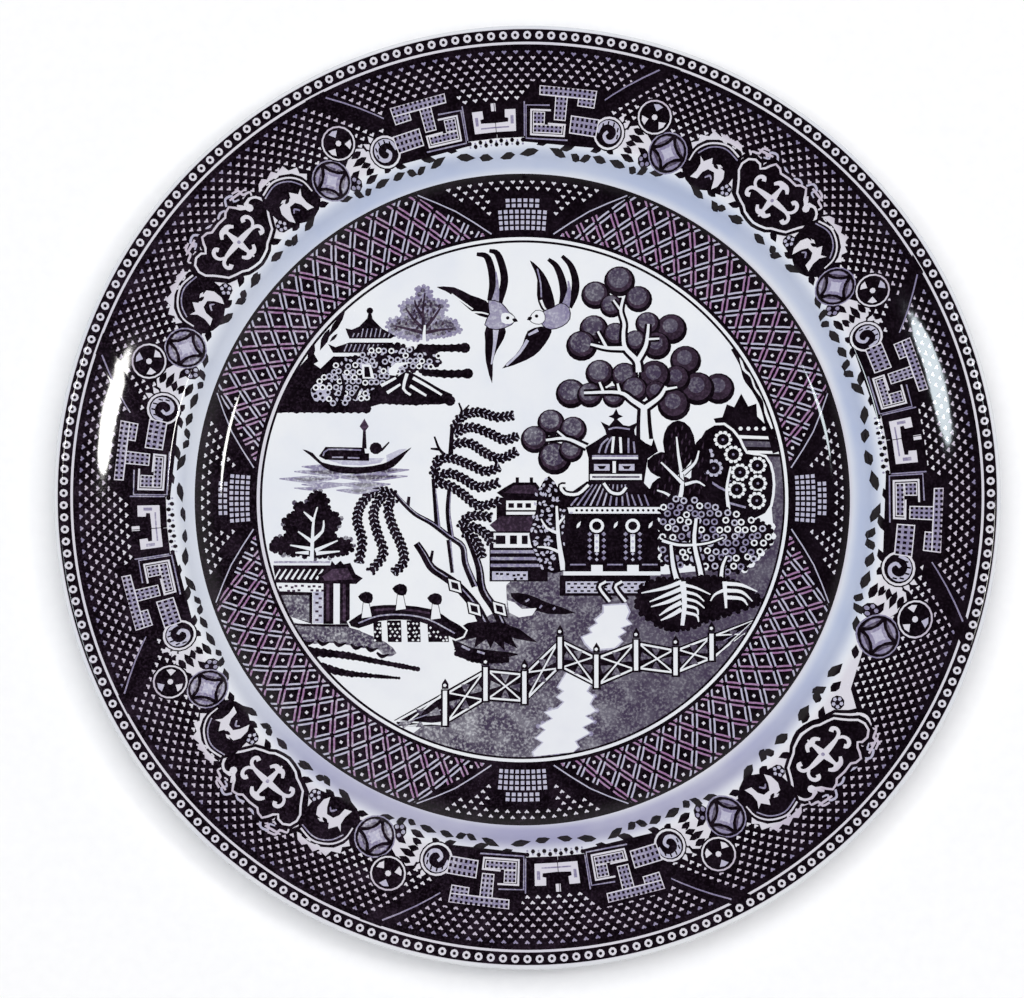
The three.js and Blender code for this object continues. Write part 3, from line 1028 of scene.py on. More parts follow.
# %% The main pavilion: upper storey
draw("solid", [(20.7, 22.6), (21.9, 20.2), (22.3, 18.6), (30, 18.6), (29.8, 20.2), (30.8, 22.4),
               (28.4, 21.3), (26.8, 21.6), (24.8, 23.6), (23.0, 21.4)])
draw("solid", [(24.9, 26.2), (25.6, 24.6), (26.8, 24), (25.4, 23.4), (24.8, 22), (24.2, 23.4),
               (22.8, 24), (24.1, 24.6)])
line("light", [(22.8, 20.4), (25, 20.9), (28.6, 20.4)], 0.45)
draw("solid", [(16.6, 15.4), (18.9, 16.8), (22.0, 18.9), (30, 18.9), (32.8, 16.6), (34.4, 15.8),
               (35, 17.8), (36.2, 14.2), (33.4, 12.2), (31.4, -1), (17.4, -1), (17.4, 12.4)])
lines("light", [[(20.2, 13.8), (21, 16.2), (22.8, 17.9)], [(21.9, 13.8), (22.6, 16.2), (23.8, 18.2)],
                [(28.2, 13.8), (28.2, 18)], [(29.9, 13.8), (29.6, 17)]], 0.5)
lines("bare", [[(23.8, 13.8), (24.2, 18.4)], [(26.2, 13.8), (26, 18.2)]], 0.7)
draw("light", box(18.4, 30.8, 12, 13.2))
draw("bare", box(18.4, 30.8, 12.2, 12.6))
for x in (18.9, 25.6):
    draw("pale", box(x, x + 4.2, 8.9, 10.7))
    draw("solid", [(x + 0.9, 10.2), (x + 3.3, 10.2), (x + 2.7, 9.3), (x + 1.5, 9.3)])
draw("bare", box(23.9, 24.8, 8.2, 11.5))
draw("bare", box(17.8, 31.8, 6.3, 7.9))
draw("middle", box(18.4, 31.2, 6.8, 7.4))
tell("upper storey")

# %% The main pavilion: broad roof
draw("solid", [(9.4, -1.4), (9.8, 2), (13, 3), (17.0, 5.9), (31.9, 5.9), (34.4, 3.2), (38, -1.4)])
for i in range(13):
    x = 12.6 + i * 1.75
    line("pale" if i in (3, 5) else "light",
         [(17.4 + i * 1.12 if i < 9 else x - 1.1, 5.0 if i < 10 else 2.2), (x, -0.9)], 0.35, 0.5,
         cuts=1)
for curl in ([(10.2, 3.2), (10.0, 4.6), (11.2, 4.7)], [(10.1, 3.6), (11.4, 2.4), (14.6, 2.4), (17.4, 4.9)],
             [(21.5, 5.4), (23.4, 2.9), (26, 2.5), (27.6, 4.2)]):
    line("solid", curl, 1.9)
    line("bare", curl, 0.8)
draw("bare", box(13.4, 37, -3.1, -1.3))
for i in range(17):
    draw("solid", circle(14.2 + 1.38 * i, -2.2, 0.42, 5))
tell("broad roof")

# %% The main pavilion: columns, doors and terrace
draw("solid", box(11, 36.8, -19.2, -3.1))
for x in (19.6, 29.3):
    draw("bare", circle(x, -6.5, 2.0, 14))
    draw("solid", circle(x, -6.5, 1.25, 10))
    draw("bare", box(x - 0.6, x + 0.6, -13.8, -8.9))
    draw("bare", box(x - 1.5, x + 1.6, -19.2, -17.4))
    for y in (-8.8, -10.5, -12.2, -13.9, -15.5):
        for side in (-1, 1):
            draw("light", circle(x + side * 1.9, y, 0.62, 4))
        draw("pale", circle(x, y - 0.4, 0.5, 4))
for x in (14.4, 24.4, 33.8):
    draw("bare", leaf((x - 0.2, -7.2), (x + 0.9, -5.2), 0.8))
    line("light", [(x - 2, -17.3), (x + 2.2, -17.3)], 0.4, cuts=1)
for y in (-4.6, -7.4, -10.2, -12.8, -15.2):
    floret(37, y, 1.0)
draw("bare", box(10.6, 36.8, -20.3, -19.2))
draw("solid", box(9.6, 34, -26, -20.3))
draw("pale", box(11.2, 33.6, -25.2, -22))
for row in range(3):
    for i in range(12):
        x = 11.6 + 1.8 * i + row % 2 * 0.9
        draw("solid", box(x, x + 0.9, -24.9 + row, -24.4 + row))
for x in (20.3, 24.6):
    line("solid", [(x + 1.8, -22), (x, -23.6), (x + 2.8, -27.4)], 2.2)
    line("bare", [(x + 1.8, -22), (x, -23.6), (x + 2.8, -27.6)], 0.7)
tell("pavilions")

# %% [markdown]
# ### Trees and rocks on the right
# Behind the pavilion stand a gate roof, a tree of big flowers, a tree of broad dark leaves and a
# bush of small florets. A flower is ten petal discs on a dark disc, which is quicker to cut than
# one outline with ten lobes. The rocks below fan out in bare strokes from two ridges.

# %% The gate roof and the flowering tree
draw("solid", [(51.2, 23.4), (53.6, 23.8), (54.8, 27.4), (56.8, 26.6), (58.7, 30.4), (60.6, 26.8),
               (62.8, 27.6), (63, 24), (66, 21), (66, 19.4), (53, 19.4)])
for low, high in [(18, 19.1), (14.3, 15.2)]:
    draw("solid", box(54, 70, low - 1.4, high + 1))
draw("middle", box(58, 69.6, 15.6, 17.2))
draw("bare", box(57.4, 69.6, 17.9, 18.8))
draw("bare", box(60.4, 69.8, 13.7, 14.5))
for i in range(5):
    draw("bare", circle(56.4 + 2.1 * i, 20.6, 0.6, 6))
line("solid", [(56.4, 43), (59, 38.6), (60.2, 35), (62.4, 31.6), (65, 26), (66.6, 21), (68.6, 14)], 1.0,
     1.6, 2.2, 1.5, 2.6, 3)
line("bare",
     [(58.6, 40.6), (59.4, 37.2), (61.4, 35.2), (62.4, 32), (64.8, 28.6), (65.4, 25), (67.2, 20.6)],
     0.8, 0.5, 0.9)
crown = blob([(49, 20), (54, 21.6), (58, 17.6), (60, 13.6), (65, 12.6), (66.9, 8), (66.9, 2), (65, -3),
              (58, -5), (48, -2), (45, 4), (46, 13)])
draw("bare", grown(crown, 0.7))
draw("solid", crown)
lines("light", [[(55, 3), (50.6, 5.6), (48.6, 9)], [(55.4, 6), (60, 3.6)], [(54.8, 0), (59.8, -1.4)]],
      0.6)
for x, y in [(48.8, 13.2), (57.4, 3.6), (53.7, 17.5), (56.5, 13.4), (51.2, 9.6), (63, 10.3), (58.3, 8.4),
             (63.1, 5.3), (62.8, 0.5)]:
    draw("solid", circle(x, y, 2.9, 14))
    for k in range(10):
        a = math.tau * k / 10
        petal = circle(x + 1.95 * math.cos(a), y + 1.95 * math.sin(a), 0.62, 6)
        draw("bare" if x > 52 else "pale", petal)
    draw("solid", circle(x, y, 1.65, 10))
    draw("light", circle(x, y, 0.4, 5))
line("bare", [(55.2, -2), (54.7, 3.8), (55.8, 10)], 1.0, 0.5)
tell("flowering tree")

# %% The broad-leaved tree
lobes = [[(41.7, 22.6), (44.6, 20.8), (46, 16), (44.6, 11.4), (42, 9), (39, 12), (37.8, 17), (39, 21)],
         [(37, 13.8), (39.4, 12.6), (41.6, 8), (38, 7), (34.4, 8.6), (33.6, 11.6)],
         [(48.6, 17.6), (50, 13), (49, 8.6), (45.6, 8), (45.6, 13), (46.8, 16.6)],
         [(34.8, 5.2), (38, 7.2), (42, 7), (45, 6), (46, 1), (42, -1.6), (37.6, -0.6), (34.4, 2)],
         [(45, 6.6), (49.4, 7.6), (50.6, 3.6), (47, 0.6), (43.4, 2)]]
for lobe in lobes:
    draw("solid", grown(blob(lobe), 0.3))
    strewn(grown(blob(lobe), -0.6), 2.1, fleck)
VEINS = [([(41.6, -1), (42.7, 5.4), (41.7, 13.1), (41.2, 18.3)], 1.3),
         ([(42.7, 5.4), (39.7, 8.5), (37, 11.2)], 1.0), ([(43, 8), (46.2, 11.1), (47.2, 14.4)], 1.0),
         ([(41.7, -0.3), (38.7, 2.3), (35.9, 3.4)], 1.0), ([(43.4, 5), (46.6, 5.8), (48.8, 4.6)], 0.9)]
for points, wide in VEINS:
    line("solid", points, wide + 0.6, 0.8)
    line("bare", points, wide, 0.4)
tell("broad-leaved tree")

# %% The bush of florets
bush = blob([(37, -0.6), (43, 1.4), (50, 0.4), (56, -2.5), (62, -4.6), (66, -6.6), (66.8, -9.4),
             (65.8, -12.4), (62.6, -15), (59.5, -18.4), (55, -19.6), (50, -18.6), (44, -17),
             (37.4, -17)])
fringed("bare", [(64, -5), (66.6, -6.8), (66.9, -9.6), (65.6, -12.8), (62.6, -15.4), (59.4, -18.8)],
        1.15, 1.9)
draw("solid", bush)
fringed("solid", bush, 0.7, 1.6)
strewn(bush, 2.35, berry)
BOUGHS = [([(46.6, -24.6), (47.7, -20.4), (45.9, -11.6), (46.4, -4.5)], 2.0),
          ([(41.7, -23.4), (40.2, -17.8), (39.6, -11.8)], 1.9),
          ([(37.2, -10.6), (41.4, -11.8), (46, -11.8), (50, -11.2), (53.7, -9.8)], 1.1),
          ([(53, -22.6), (53.4, -18), (54.6, -15)], 1.4)]
for points, wide in BOUGHS:
    line("solid", points, wide + 0.9, wide)
for points, wide in BOUGHS:
    line("bare", points, wide * 0.75, wide * 0.4)
tell("bush")

# %% The rocks
rocks = [(30.4, -29), (31.7, -23.4), (37.7, -21.3), (41.2, -21.8), (47.7, -20.9), (54.7, -21.2),
         (60, -24.2), (64.6, -27.3), (59.7, -29.4), (50.7, -32.3), (44.2, -35.1), (38.2, -35),
         (33.2, -32.4)]
draw("solid", blob(rocks))
fringed("solid", blob(rocks), 0.85, 1.9)
for k in range(5):
    y, uneven = -23 - 1.9 * k, k % 2 * 0.9
    tip = (31.6 + 1.3 * k + uneven, y - 2.2 - uneven * 0.6)
    line("bare", [(42.4, y + 0.9), (38 + 0.4 * k, y - 0.8), tip], 1.2, 1.0, 0.3)
    line("bare", [(43.4, y), (46.4, y - 0.8), (50.2 - 0.8 * k - uneven, y - 2.6)], 0.9, 0.7, 0.3)
for k in range(3):
    y, uneven = -22.6 - 1.9 * k, k % 2 * 0.8
    line("bare", [(54.4, y), (58.6, y - 0.4), (62.8 - 1.3 * k, y - 2.2 - uneven)], 1.1, 0.9, 0.3)
line("bare", [(53.8, -24.4), (51.4, -25.6), (50.2, -27.4)], 0.9, 0.3)
line("bare", [(42.7, -22), (43.2, -28), (42.6, -34.2)], 1.6, 1.0)
line("bare", [(54, -22), (54.4, -29.4)], 1.2, 0.6, cuts=1)
tell("right bank")

# %% [markdown]
# ### The willow
# The willow's shoots hang over the water. A shoot isn't drawn leaf by leaf: it's a dark band along a given
# curve, with small lobes down both sides and fine light nicks across it, and one function draws all twelve
# from their curves.

# %% The willow's trunks
TRUNKS = [([(-5.6, -34.6), (-8, -29.4), (-11.2, -24.2), (-12.1, -18.1), (-14.4, -11.5), (-16.8, -7)],
           2.3, 2.2, 1.3),
          ([(-10.5, -34), (-13.5, -28.4), (-18, -23.2), (-21.7, -20.4), (-24.9, -18.1), (-27.1, -14.3),
            (-29, -11.4)], 3.0, 2.4, 1.9),
          ([(-13.2, -23.4), (-15.8, -17), (-16.6, -12.2), (-20.3, -9.4), (-24.9, -5.8), (-29.4, -3.2),
            (-33, 0.3), (-35, 2.8)], 1.9, 1.5, 1.0),
          ([(-19.6, -9.8), (-20.5, -2.5), (-20, 5)], 1.6, 1.1),
          ([(-23.3, -6.9), (-23.9, -0.1), (-24.5, 6.6)], 1.6, 1.0),
          ([(-20.3, -10.4), (-19.3, -19.6)], 1.3, 1.0), ([(-31.4, -1.4), (-31, 1.6)], 1.1, 0.8),
          ([(-25.4, -17.6), (-24.6, -13.4)], 1.1, 0.7), ([(-19.8, 13), (-19.4, 21.4)], 1.4, 1.0),
          ([(-20.4, 12.4), (-22.8, 14.8), (-24.2, 18.4)], 1.0, 0.5),
          ([(-22.8, 14.8), (-25.2, 15)], 0.9, 0.5), ([(-21.2, 13.2), (-24.6, 12.2)], 0.9, 0.5),
          ([(-19.4, 20.4), (-16.9, 24.8), (-17.6, 27.8)], 0.9, 0.5),
          ([(-16.9, 24.8), (-14.8, 27.2)], 0.8, 0.4), ([(-17.2, 24.4), (-13.4, 25.8)], 0.8, 0.4)]
for points, *widths in TRUNKS:
    line("solid", points, *widths, cuts=4)
for points, *widths in TRUNKS[:6]:
    line("light", [(x + 0.45, y) for x, y in points], 0.45, 0.15)
for x, y in [(-13.4, -29.6), (-18.6, -23.2), (-6.6, -29.6)]:
    for finish, size in [("solid", 2.3), ("bare", 1.8), ("solid", 1.1)]:
        draw(finish, [(x - size, y + size * 1.1), (x + size * 0.7, y + size * 0.6),
                      (x + size, y - size * 1.1), (x - size * 0.7, y - size * 0.6)])
tell("willow's trunks")

# %% The willow's shoots and its bank
FRONDS = [[(-34.6, 1.9), (-39.5, 3.4), (-43.6, -0.1), (-45, -5), (-43.6, -10.5), (-44.5, -17)],
          [(-35, 1.6), (-38.4, 1.4), (-40.6, -3), (-39.5, -8.6), (-37.9, -14.3), (-41.3, -19.2)],
          [(-34.9, 1.1), (-36.7, -1.3), (-35.4, -6.7), (-33.1, -11.9), (-32.4, -16.6), (-35.4, -19.8)],
          [(-18.9, 20.6), (-16.6, 24.1), (-12.1, 25.2), (-7.5, 23.8), (-2.7, 24.3)],
          [(-18.9, 19.2), (-14.4, 21), (-8.9, 19.1), (-5.2, 17.4), (-1.4, 18.7)],
          [(-19.4, 16.2), (-14.8, 16.6), (-10.3, 13.7), (-6.2, 12.2), (-1.8, 14.4)],
          [(-24.4, 7.6), (-23, 11.8), (-19.4, 12.3), (-14.4, 10.4), (-10.3, 8.6), (-6.4, 10)],
          [(-24.4, 6.2), (-20.3, 8.2), (-16.2, 6.5), (-12.1, 4.2), (-6.9, 5.5)],
          [(-23.7, 5.4), (-20.3, 4.8), (-16.6, 2.4), (-12.1, -1), (-6.4, 0.4)],
          [(-17.1, -7.2), (-15.3, -4.2), (-12.1, -3.7), (-8.7, -4.2)],
          [(-16.6, -7.2), (-13.5, -6.9), (-10.3, -8.8), (-8.6, -11.7)],
          [(-16.2, -8.4), (-13.7, -9.8), (-12, -12.6), (-11.3, -15.6)]]
for points in FRONDS:
    frond(points)
for tip in [(-19.6, -36.2), (-17.4, -38.6), (-13.4, -40.4), (-9, -40.6), (-5.2, -41.2), (-1.8, -40.6),
            (3.8, -39), (-1, -37)]:
    draw("solid", leaf((-9, -33.4), tip, 3.0))
for y in (-45, -43.6):
    bar([(-18.6, y + 3.2), (-12, y + 1), (-4, y + 1.2)], 1.7)
draw("solid", blob([(-19.4, -38), (-14, -40.4), (-4, -41.6), (-1.6, -42.4), (-8, -43.4), (-16.4, -43)]))
lines("light", [[(-16.8, -39.9), (-14.6, -41)], [(-12.6, -41.4), (-10.6, -42)]], 0.6)
tell("willow")

# %% [markdown]
# ### The boat and the left bank
# The boat's shade on the water is a few tapered strokes in two tones. On the left bank stand a
# round tree, a tiled wall with a gate, and a tongue of ground with a scalloped shore.

# %% The boat and its shade
SHADE = [(-66, -50, 6.6, 1.7), (-62, -44, 8.6, 1.9), (-60, -47, 5.0, 1.5), (-60, -51, 10, 1.2),
         (-52, -31.4, 7.2, 2.0), (-50.6, -39, 3.4, 1.5), (-50, -36, 5.0, 1.9), (-44, -31, 9.0, 1.5),
         (-62, -53, 4.0, 0.8)]
for left, right, y, thick in SHADE:
    line("light", [(left, y), ((left + right) / 2, y - 0.2), (right, y + 0.1)], 0.3, thick * 1.3, 0.3)
for left, right, y, thick in SHADE[:2] + SHADE[4:8]:
    line("middle", [(left + 4, y), ((left + right) / 2, y - 0.2), (right - 3, y + 0.1)], 0.2,
         thick * 0.7, 0.2)
draw("pale", [(-37.2, 13.2), (-33.6, 14.8), (-31.6, 15), (-34.4, 12.4), (-37, 11)])
draw("solid", blob([(-59.8, 14.8), (-57, 13.8), (-54.5, 11.2), (-49, 10.1), (-43.6, 9.9), (-38.1, 10.8),
                    (-34.9, 12.5), (-30.4, 15.4), (-31.9, 13.6), (-34, 11), (-37.2, 9), (-45.4, 7.9),
                    (-52.2, 8.8), (-55.4, 11), (-57.7, 13.1)]))
draw("pale", [(-54, 12.2), (-37.6, 12.4), (-38.8, 11), (-43.6, 10.3), (-49, 10.5)])
draw("solid", [(-55.4, 12.9), (-53.6, 15.5), (-43.1, 15.3), (-42.7, 12.4), (-43.5, 11.6), (-53.6, 11.9)])
lines("light", [[(-54.2, 13), (-52.8, 14.8), (-44, 14.6)], [(-51.8, 12.6), (-48.8, 12.6)],
                [(-47.6, 12.5), (-44.4, 12.4)]], 0.4)
draw("solid", circle(-40, 15.1, 1.7, 10))
draw("solid", box(-43.4, -41.8, 11.6, 13.7))
line("solid", [(-38.6, 14.4), (-36.4, 16.8)], 0.7, 0.4, cuts=1)
line("solid", [(-43.1, 15), (-43.1, 22.6)], 1.3, 0.5, cuts=1)
draw("deep", [(-43.1, 23.4), (-41.9, 21.2), (-43.1, 19.6), (-44.4, 21.2)])
tell("boat")

# %% The round tree
round_tree = blob([(-55, 2.9), (-52.7, 0.4), (-52.2, -2.5), (-50.2, -3.2), (-49.5, -5.8), (-50.9, -9.1),
                   (-47, -10.5), (-46.3, -13.3), (-50, -14.9), (-57.7, -15.4), (-63.6, -14.4),
                   (-67.3, -13.8), (-68.2, -11.7), (-66.8, -9.8), (-64.4, -9.1), (-64.8, -5),
                   (-62.3, -2.8), (-61.6, -0.2), (-58.4, 0.1), (-57.3, 2.2)])
fringed("middle", grown(round_tree, 0.2), 0.75, 1.3)
draw("solid", grown(round_tree, -0.3))
fringed("solid", grown(round_tree, -0.3), 0.85, 1.5)
lines("bare", [[(-57.2, -16.2), (-57, -9.6), (-56.7, -4.9), (-55.7, -1.3)], [(-57, -11), (-60.9, -8.1)],
               [(-57, -10.6), (-54.3, -8), (-54, -5)], [(-56.3, -13.4), (-50.2, -10.6)],
               [(-57.5, -12.9), (-63, -11.9)], [(-56.8, -5), (-59.4, -2.6)],
               [(-56, -14.2), (-49.6, -13.6)], [(-58, -14), (-61.6, -14)]], 1.1, 0.35)
tell("round tree")

# %% The wall and its gate
draw("light", box(-67.4, -52.2, -16.9, -16.3))
draw("solid", box(-67.6, -52, -22.6, -17.5))
for k in range(9):
    x = -66.6 + 1.65 * k
    line("bare", [(x - 0.9, -21.4), (x + 0.9, -18.6)], 0.7, 0.4, cuts=1)
draw("bare", box(-67, -54, -24.9, -22.9))
strewn([Vector(p) for p in box(-66.4, -54, -24.7, -22.9)], 1.5, tile)
draw("solid", box(-66.8, -57, -33.8, -25))
draw("middle", box(-65.4, -57.8, -33.2, -25.8))
draw("pale", box(-56.8, -54, -33.6, -24.8))
for row in range(7):
    draw("deep", box(-56.2 + row % 2 * 0.9, -55.3 + row % 2 * 0.9, -33 + 1.2 * row, -32.4 + 1.2 * row))
draw("solid", [(-55.6, -20.2), (-52.4, -18.4), (-51.8, -16.2), (-50.8, -17.4), (-49.4, -16.2),
               (-48.6, -17.2), (-46.8, -16.8), (-45.4, -19.9), (-43.4, -21.1), (-45.2, -22.7),
               (-54.5, -22.5)])
draw("deep", [(-54.4, -20.6), (-51.6, -18.6), (-47.6, -18.2), (-46, -21.4), (-53.6, -21.8)])
for x in (-54, -49.6):
    draw("solid", box(x, x + 2.7, -33.8, -22.2))
    draw("deep", box(x + 0.8, x + 1.6, -33, -22.8))
tell("wall and gate")

# %% The tongue of ground
draw("middle", blob([(-63.4, -34), (-55, -34.3), (-47, -34), (-43.8, -35.9), (-37.3, -38.8),
                     (-34.3, -41.9), (-37.3, -42.9), (-39.1, -40.9), (-43.3, -40.5), (-48, -39.5),
                     (-53.1, -39), (-58.7, -39.5), (-60.8, -37.6)]))
line("solid", [(-62, -34), (-54, -34.2), (-46.6, -34.2)], 0.7)
for x, y in [(-58.2, -38.8), (-54, -38.9), (-49.6, -39.2), (-45, -40), (-41, -40.6), (-38, -42.3)]:
    line("solid", [(x - 1.6, y + 0.6), (x - 0.2, y - 0.5), (x + 1.7, y + 0.1)], 0.6, 1.2, 0.3)
bar([(-58.4, -41.4), (-48, -42.5), (-40, -44.1), (-28.6, -46.3)], 2.7, 1.3)
bar([(-54.6, -45.8), (-48, -47.4), (-42.6, -48), (-33.6, -48.8)], 2.8, 0.7)
tell("left bank")

# %% [markdown]
# ### The bridge and the fence
# The bridge is a bowed deck on pierced legs, with three small marks on it for people crossing.
# The fence runs across the front in bays of one kind, so a loop draws the bays between each two
# posts, and a second one draws the posts over them.

# %% The bridge
deck = [(-47.2, -33.2), (-41.7, -29.7), (-40.8, -28.8), (-33.5, -28.5), (-24.8, -29.7), (-20, -32.6),
        (-15.6, -35.6), (-18.4, -38), (-24, -34.9), (-28, -33.2), (-33, -32.6), (-39, -33),
        (-44.5, -35)]
draw("bare", grown(blob(deck), 0.5))
for x, wide, top in [(-40.6, 2.2, -33.2), (-36.9, 3.8, -32.8), (-31.6, 3.6, -32.8), (-26, 5.6, -34)]:
    draw("solid", [(x, top), (x + wide, top), (x + wide + 0.2, -38.8), (x + 0.3, -38.8)])
    strewn([Vector(p) for p in box(x + 0.3, x + wide, -38.4, top)], 1.3, hole)
draw("solid", blob(deck))
line("light", [(-44.6, -33.6), (-39.4, -31.6), (-33, -31.2), (-26, -32.4), (-18.6, -36.4)], 0.4)
lines("deep", [[(-40.4, -30), (-33.5, -29.6), (-25.4, -30.8)]], 0.6)
for x, y in [(-42.3, -26.4), (-33.1, -24.2), (-23.7, -26.8)]:
    edged("bare", [(x - 0.9, y - 1.4), (x + 0.5, y - 1.4), (x + 1.3, y - 5.4), (x - 1.4, y - 5.8)], 0.25)
    head = [(-2.4, 0.2), (-0.4, 1.6), (1.5, 0.8), (1.3, -1.4), (-0.6, -1.6)]
    draw("solid", blob([(x + p, y + q) for p, q in head]))
tell("bridge")

# %% The fence
POSTS = [(-34.6, -60.2, -64.8), (-21.2, -52.3, -61.9), (-10.3, -45.8, -55.1), (0.15, -46.9, -55.9),
         (9.7, -37.4, -46.2), (19.5, -42.3, -51.5), (30.2, -38.2, -46.7), (40.8, -40.3, -48.0),
         (50.5, -36.5, -43.9), (62, -32.4, -38)]
for (x0, top0, low0), (x1, top1, low1) in zip(POSTS, POSTS[1:]):
    panel = [Vector(p) for p in [(x0, top0 - 0.4), (x1, top1 - 0.4), (x1, low1 + 0.2), (x0, low0 + 0.2)]]
    draw("solid", grown(panel, 0.35))
    crossing = sum(panel, Vector((0, 0))) / 4
    for share, wide in [(0.93, 0.55), (0.07, 0.55), (0.5, 0.35)]:
        ends = panel[3].lerp(panel[0], share), panel[2].lerp(panel[1], share)
        line("bare" if share != 0.5 else "light", ends, wide, cuts=1)
    for a, b in [(panel[3], panel[1]), (panel[0], panel[2])]:
        line("bare", [a.lerp(b, 0.06), a.lerp(b, 0.94)], 0.45, cuts=1)
    for a, b in zip(panel, panel[1:] + panel[:1]):
        foot = a.lerp(b, 0.5)
        line("middle", [foot.lerp(crossing, 0.24), foot.lerp(crossing, 0.75)], 2.4, 0.3, cuts=1)
for x, top, low in POSTS[1:-1]:
    draw("solid", box(x - 1.15, x + 1.15, low - 0.5, top + 0.4))
    draw("bare", box(x - 0.62, x + 0.5, low, top))
    cap = [(-0.9, 0.5), (-0.9, 1.9), (0, 3.4), (0.9, 1.9), (0.9, 0.5)]
    draw("solid", [(x + p, top + q) for p, q in cap])
    draw("bare", circle(x - 0.1, top + 1.5, 0.5, 5))
tell("whole print")

# %% [markdown]
# ## Cutting the sheet into the plate's upper face
# A shape that lies wholly under a later one would only add needless edges, so it's taken out
# first. Then one constrained triangulation cuts the whole sheet along every outline and along a
# set of turning rings, so that the curve of the clay stays fine where no print divides it. Last,
# each triangle asks which shape on the sheet is the topmost one over its middle.

# %% The topmost shape over each point
def topmost(shapes, xs, ys):
    """For each point, the number of the last shape that holds it, or -1."""
    order = np.argsort(xs)
    sorted_xs, sorted_ys = xs[order], ys[order]
    found = np.full(len(xs), -1)
    for number, (_, outline) in enumerate(shapes):
        low_x, low_y, high_x, high_y = reach(outline)
        first, last = np.searchsorted(sorted_xs, (low_x, high_x))
        near = first + np.flatnonzero((sorted_ys[first:last] > low_y) & (sorted_ys[first:last] < high_y))
        inside = held(outline, sorted_xs[near], sorted_ys[near])
        found[order[near[inside]]] = number
    return found


# %% Take out what is covered
def uncovered(shapes):
    """The shapes whose middle or a corner still shows. Small marks are dropped with their middle."""
    small = 1.7
    xs, ys, owner = [], [], []
    for number, (_, outline) in enumerate(shapes):
        low_x, low_y, high_x, high_y = reach(outline)
        middle = sum(outline, Vector((0, 0))) / len(outline)
        tests = [middle]
        if max(high_x - low_x, high_y - low_y) > small:
            edge = outline + [a.lerp(b, 0.5) for a, b in zip(outline, outline[1:] + outline[:1])]
            tests = [middle.lerp(p, share) for p in edge for share in (0.999, 0.9, 0.75, 0.5)]
        xs += [p.x for p in tests]
        ys += [p.y for p in tests]
        owner += [number] * len(tests)
    seen = topmost(shapes, np.array(xs), np.array(ys))
    shows = {o for o, top in zip(owner, seen) if top <= o}
    return [shape for number, shape in enumerate(shapes) if number in shows]


shown = uncovered(sheet)
print(f"sheet: {len(shown)} of {len(sheet)} shapes show")

# %% Cut along every outline and every turning ring
points, edges = [], []


def add_loop(outline):
    """Adds a closed outline to those that the sheet is cut along."""
    first, count = len(points), len(outline)
    points.extend(outline)
    edges.extend((first + i, first + (i + 1) % count) for i in range(count))


for _, outline in shown:
    add_loop(outline)
TURNING = [79, 81, 82.5, 84, 85.5, 87, 90.6, 91.7, 92.4, 93.9, 95.3, 97.2, 100, 109, 124.6, 125.3]
for radius in TURNING:
    add_loop([Vector(polar(360 * i / AROUND, radius)) for i in range(AROUND)])
cut_points, _, cut_faces = delaunay_2d_cdt(points, edges, [], 0, 1e-4)[:3]
corners = np.array([[cut_points[i] for i in face] for face in cut_faces])
middles = corners.mean(axis=1)
owners = topmost(shown, middles[:, 0], middles[:, 1])
print(f"cut into {len(cut_faces)} triangles on {len(cut_points)} points")

# %% [markdown]
# ## Raising the sheet and closing the plate
# Each point of the cut sheet goes up to the section's height at its own radius. The well's print
# was one round tissue pressed down by hand, so it sits a little to one side and is slightly oval.
# The open edge at the lip is then extruded, one row of the section at a time, round the lip, back
# under the rim and over the foot ring, and the last ring is filled to close the clay. A lathe
# operator would turn the clay as well, but it couldn't divide its upper face along the print.

# %% Raise the upper face
FINISHES = ["bare", "pale", "light", "plum", "middle", "deep", "solid"]
WELL_SHIFT, WELL_OVAL = Vector((-1.25, -0.2)), 0.0046
RIM_EDGE, WELL_EDGE = 93.0, 72.0


def pressed(point):
    """Where a point of the flat sheet ends up on the plate, seen from above."""
    loose = min(1.0, max(0.0, (RIM_EDGE - point.length) / (RIM_EDGE - WELL_EDGE)))
    oval = Vector((point.x * (1 + WELL_OVAL * loose), point.y * (1 - WELL_OVAL * loose)))
    return oval + WELL_SHIFT * min(1.0, loose * 5)


bm = bmesh.new()
facing = bm.verts.layers.float_vector.new("facing")
unrolled = bm.verts.layers.float.new("unrolled")
for point in cut_points:
    flat = pressed(point)
    radius = flat.length
    height, out, up = on_top(radius)
    vert = bm.verts.new((flat.x * MM, flat.y * MM, height * MM))
    spoke = flat / radius if radius > 1e-6 else Vector((0, 0))
    vert[facing] = (spoke.x * out, spoke.y * out, up)
bm.verts.ensure_lookup_table()
for corners, owner in zip(cut_faces, owners):
    face = bm.faces.new([bm.verts[i] for i in corners])
    face.material_index = FINISHES.index(shown[owner][0])
print(f"upper face: {len(bm.faces)} faces in {len(FINISHES)} finishes")

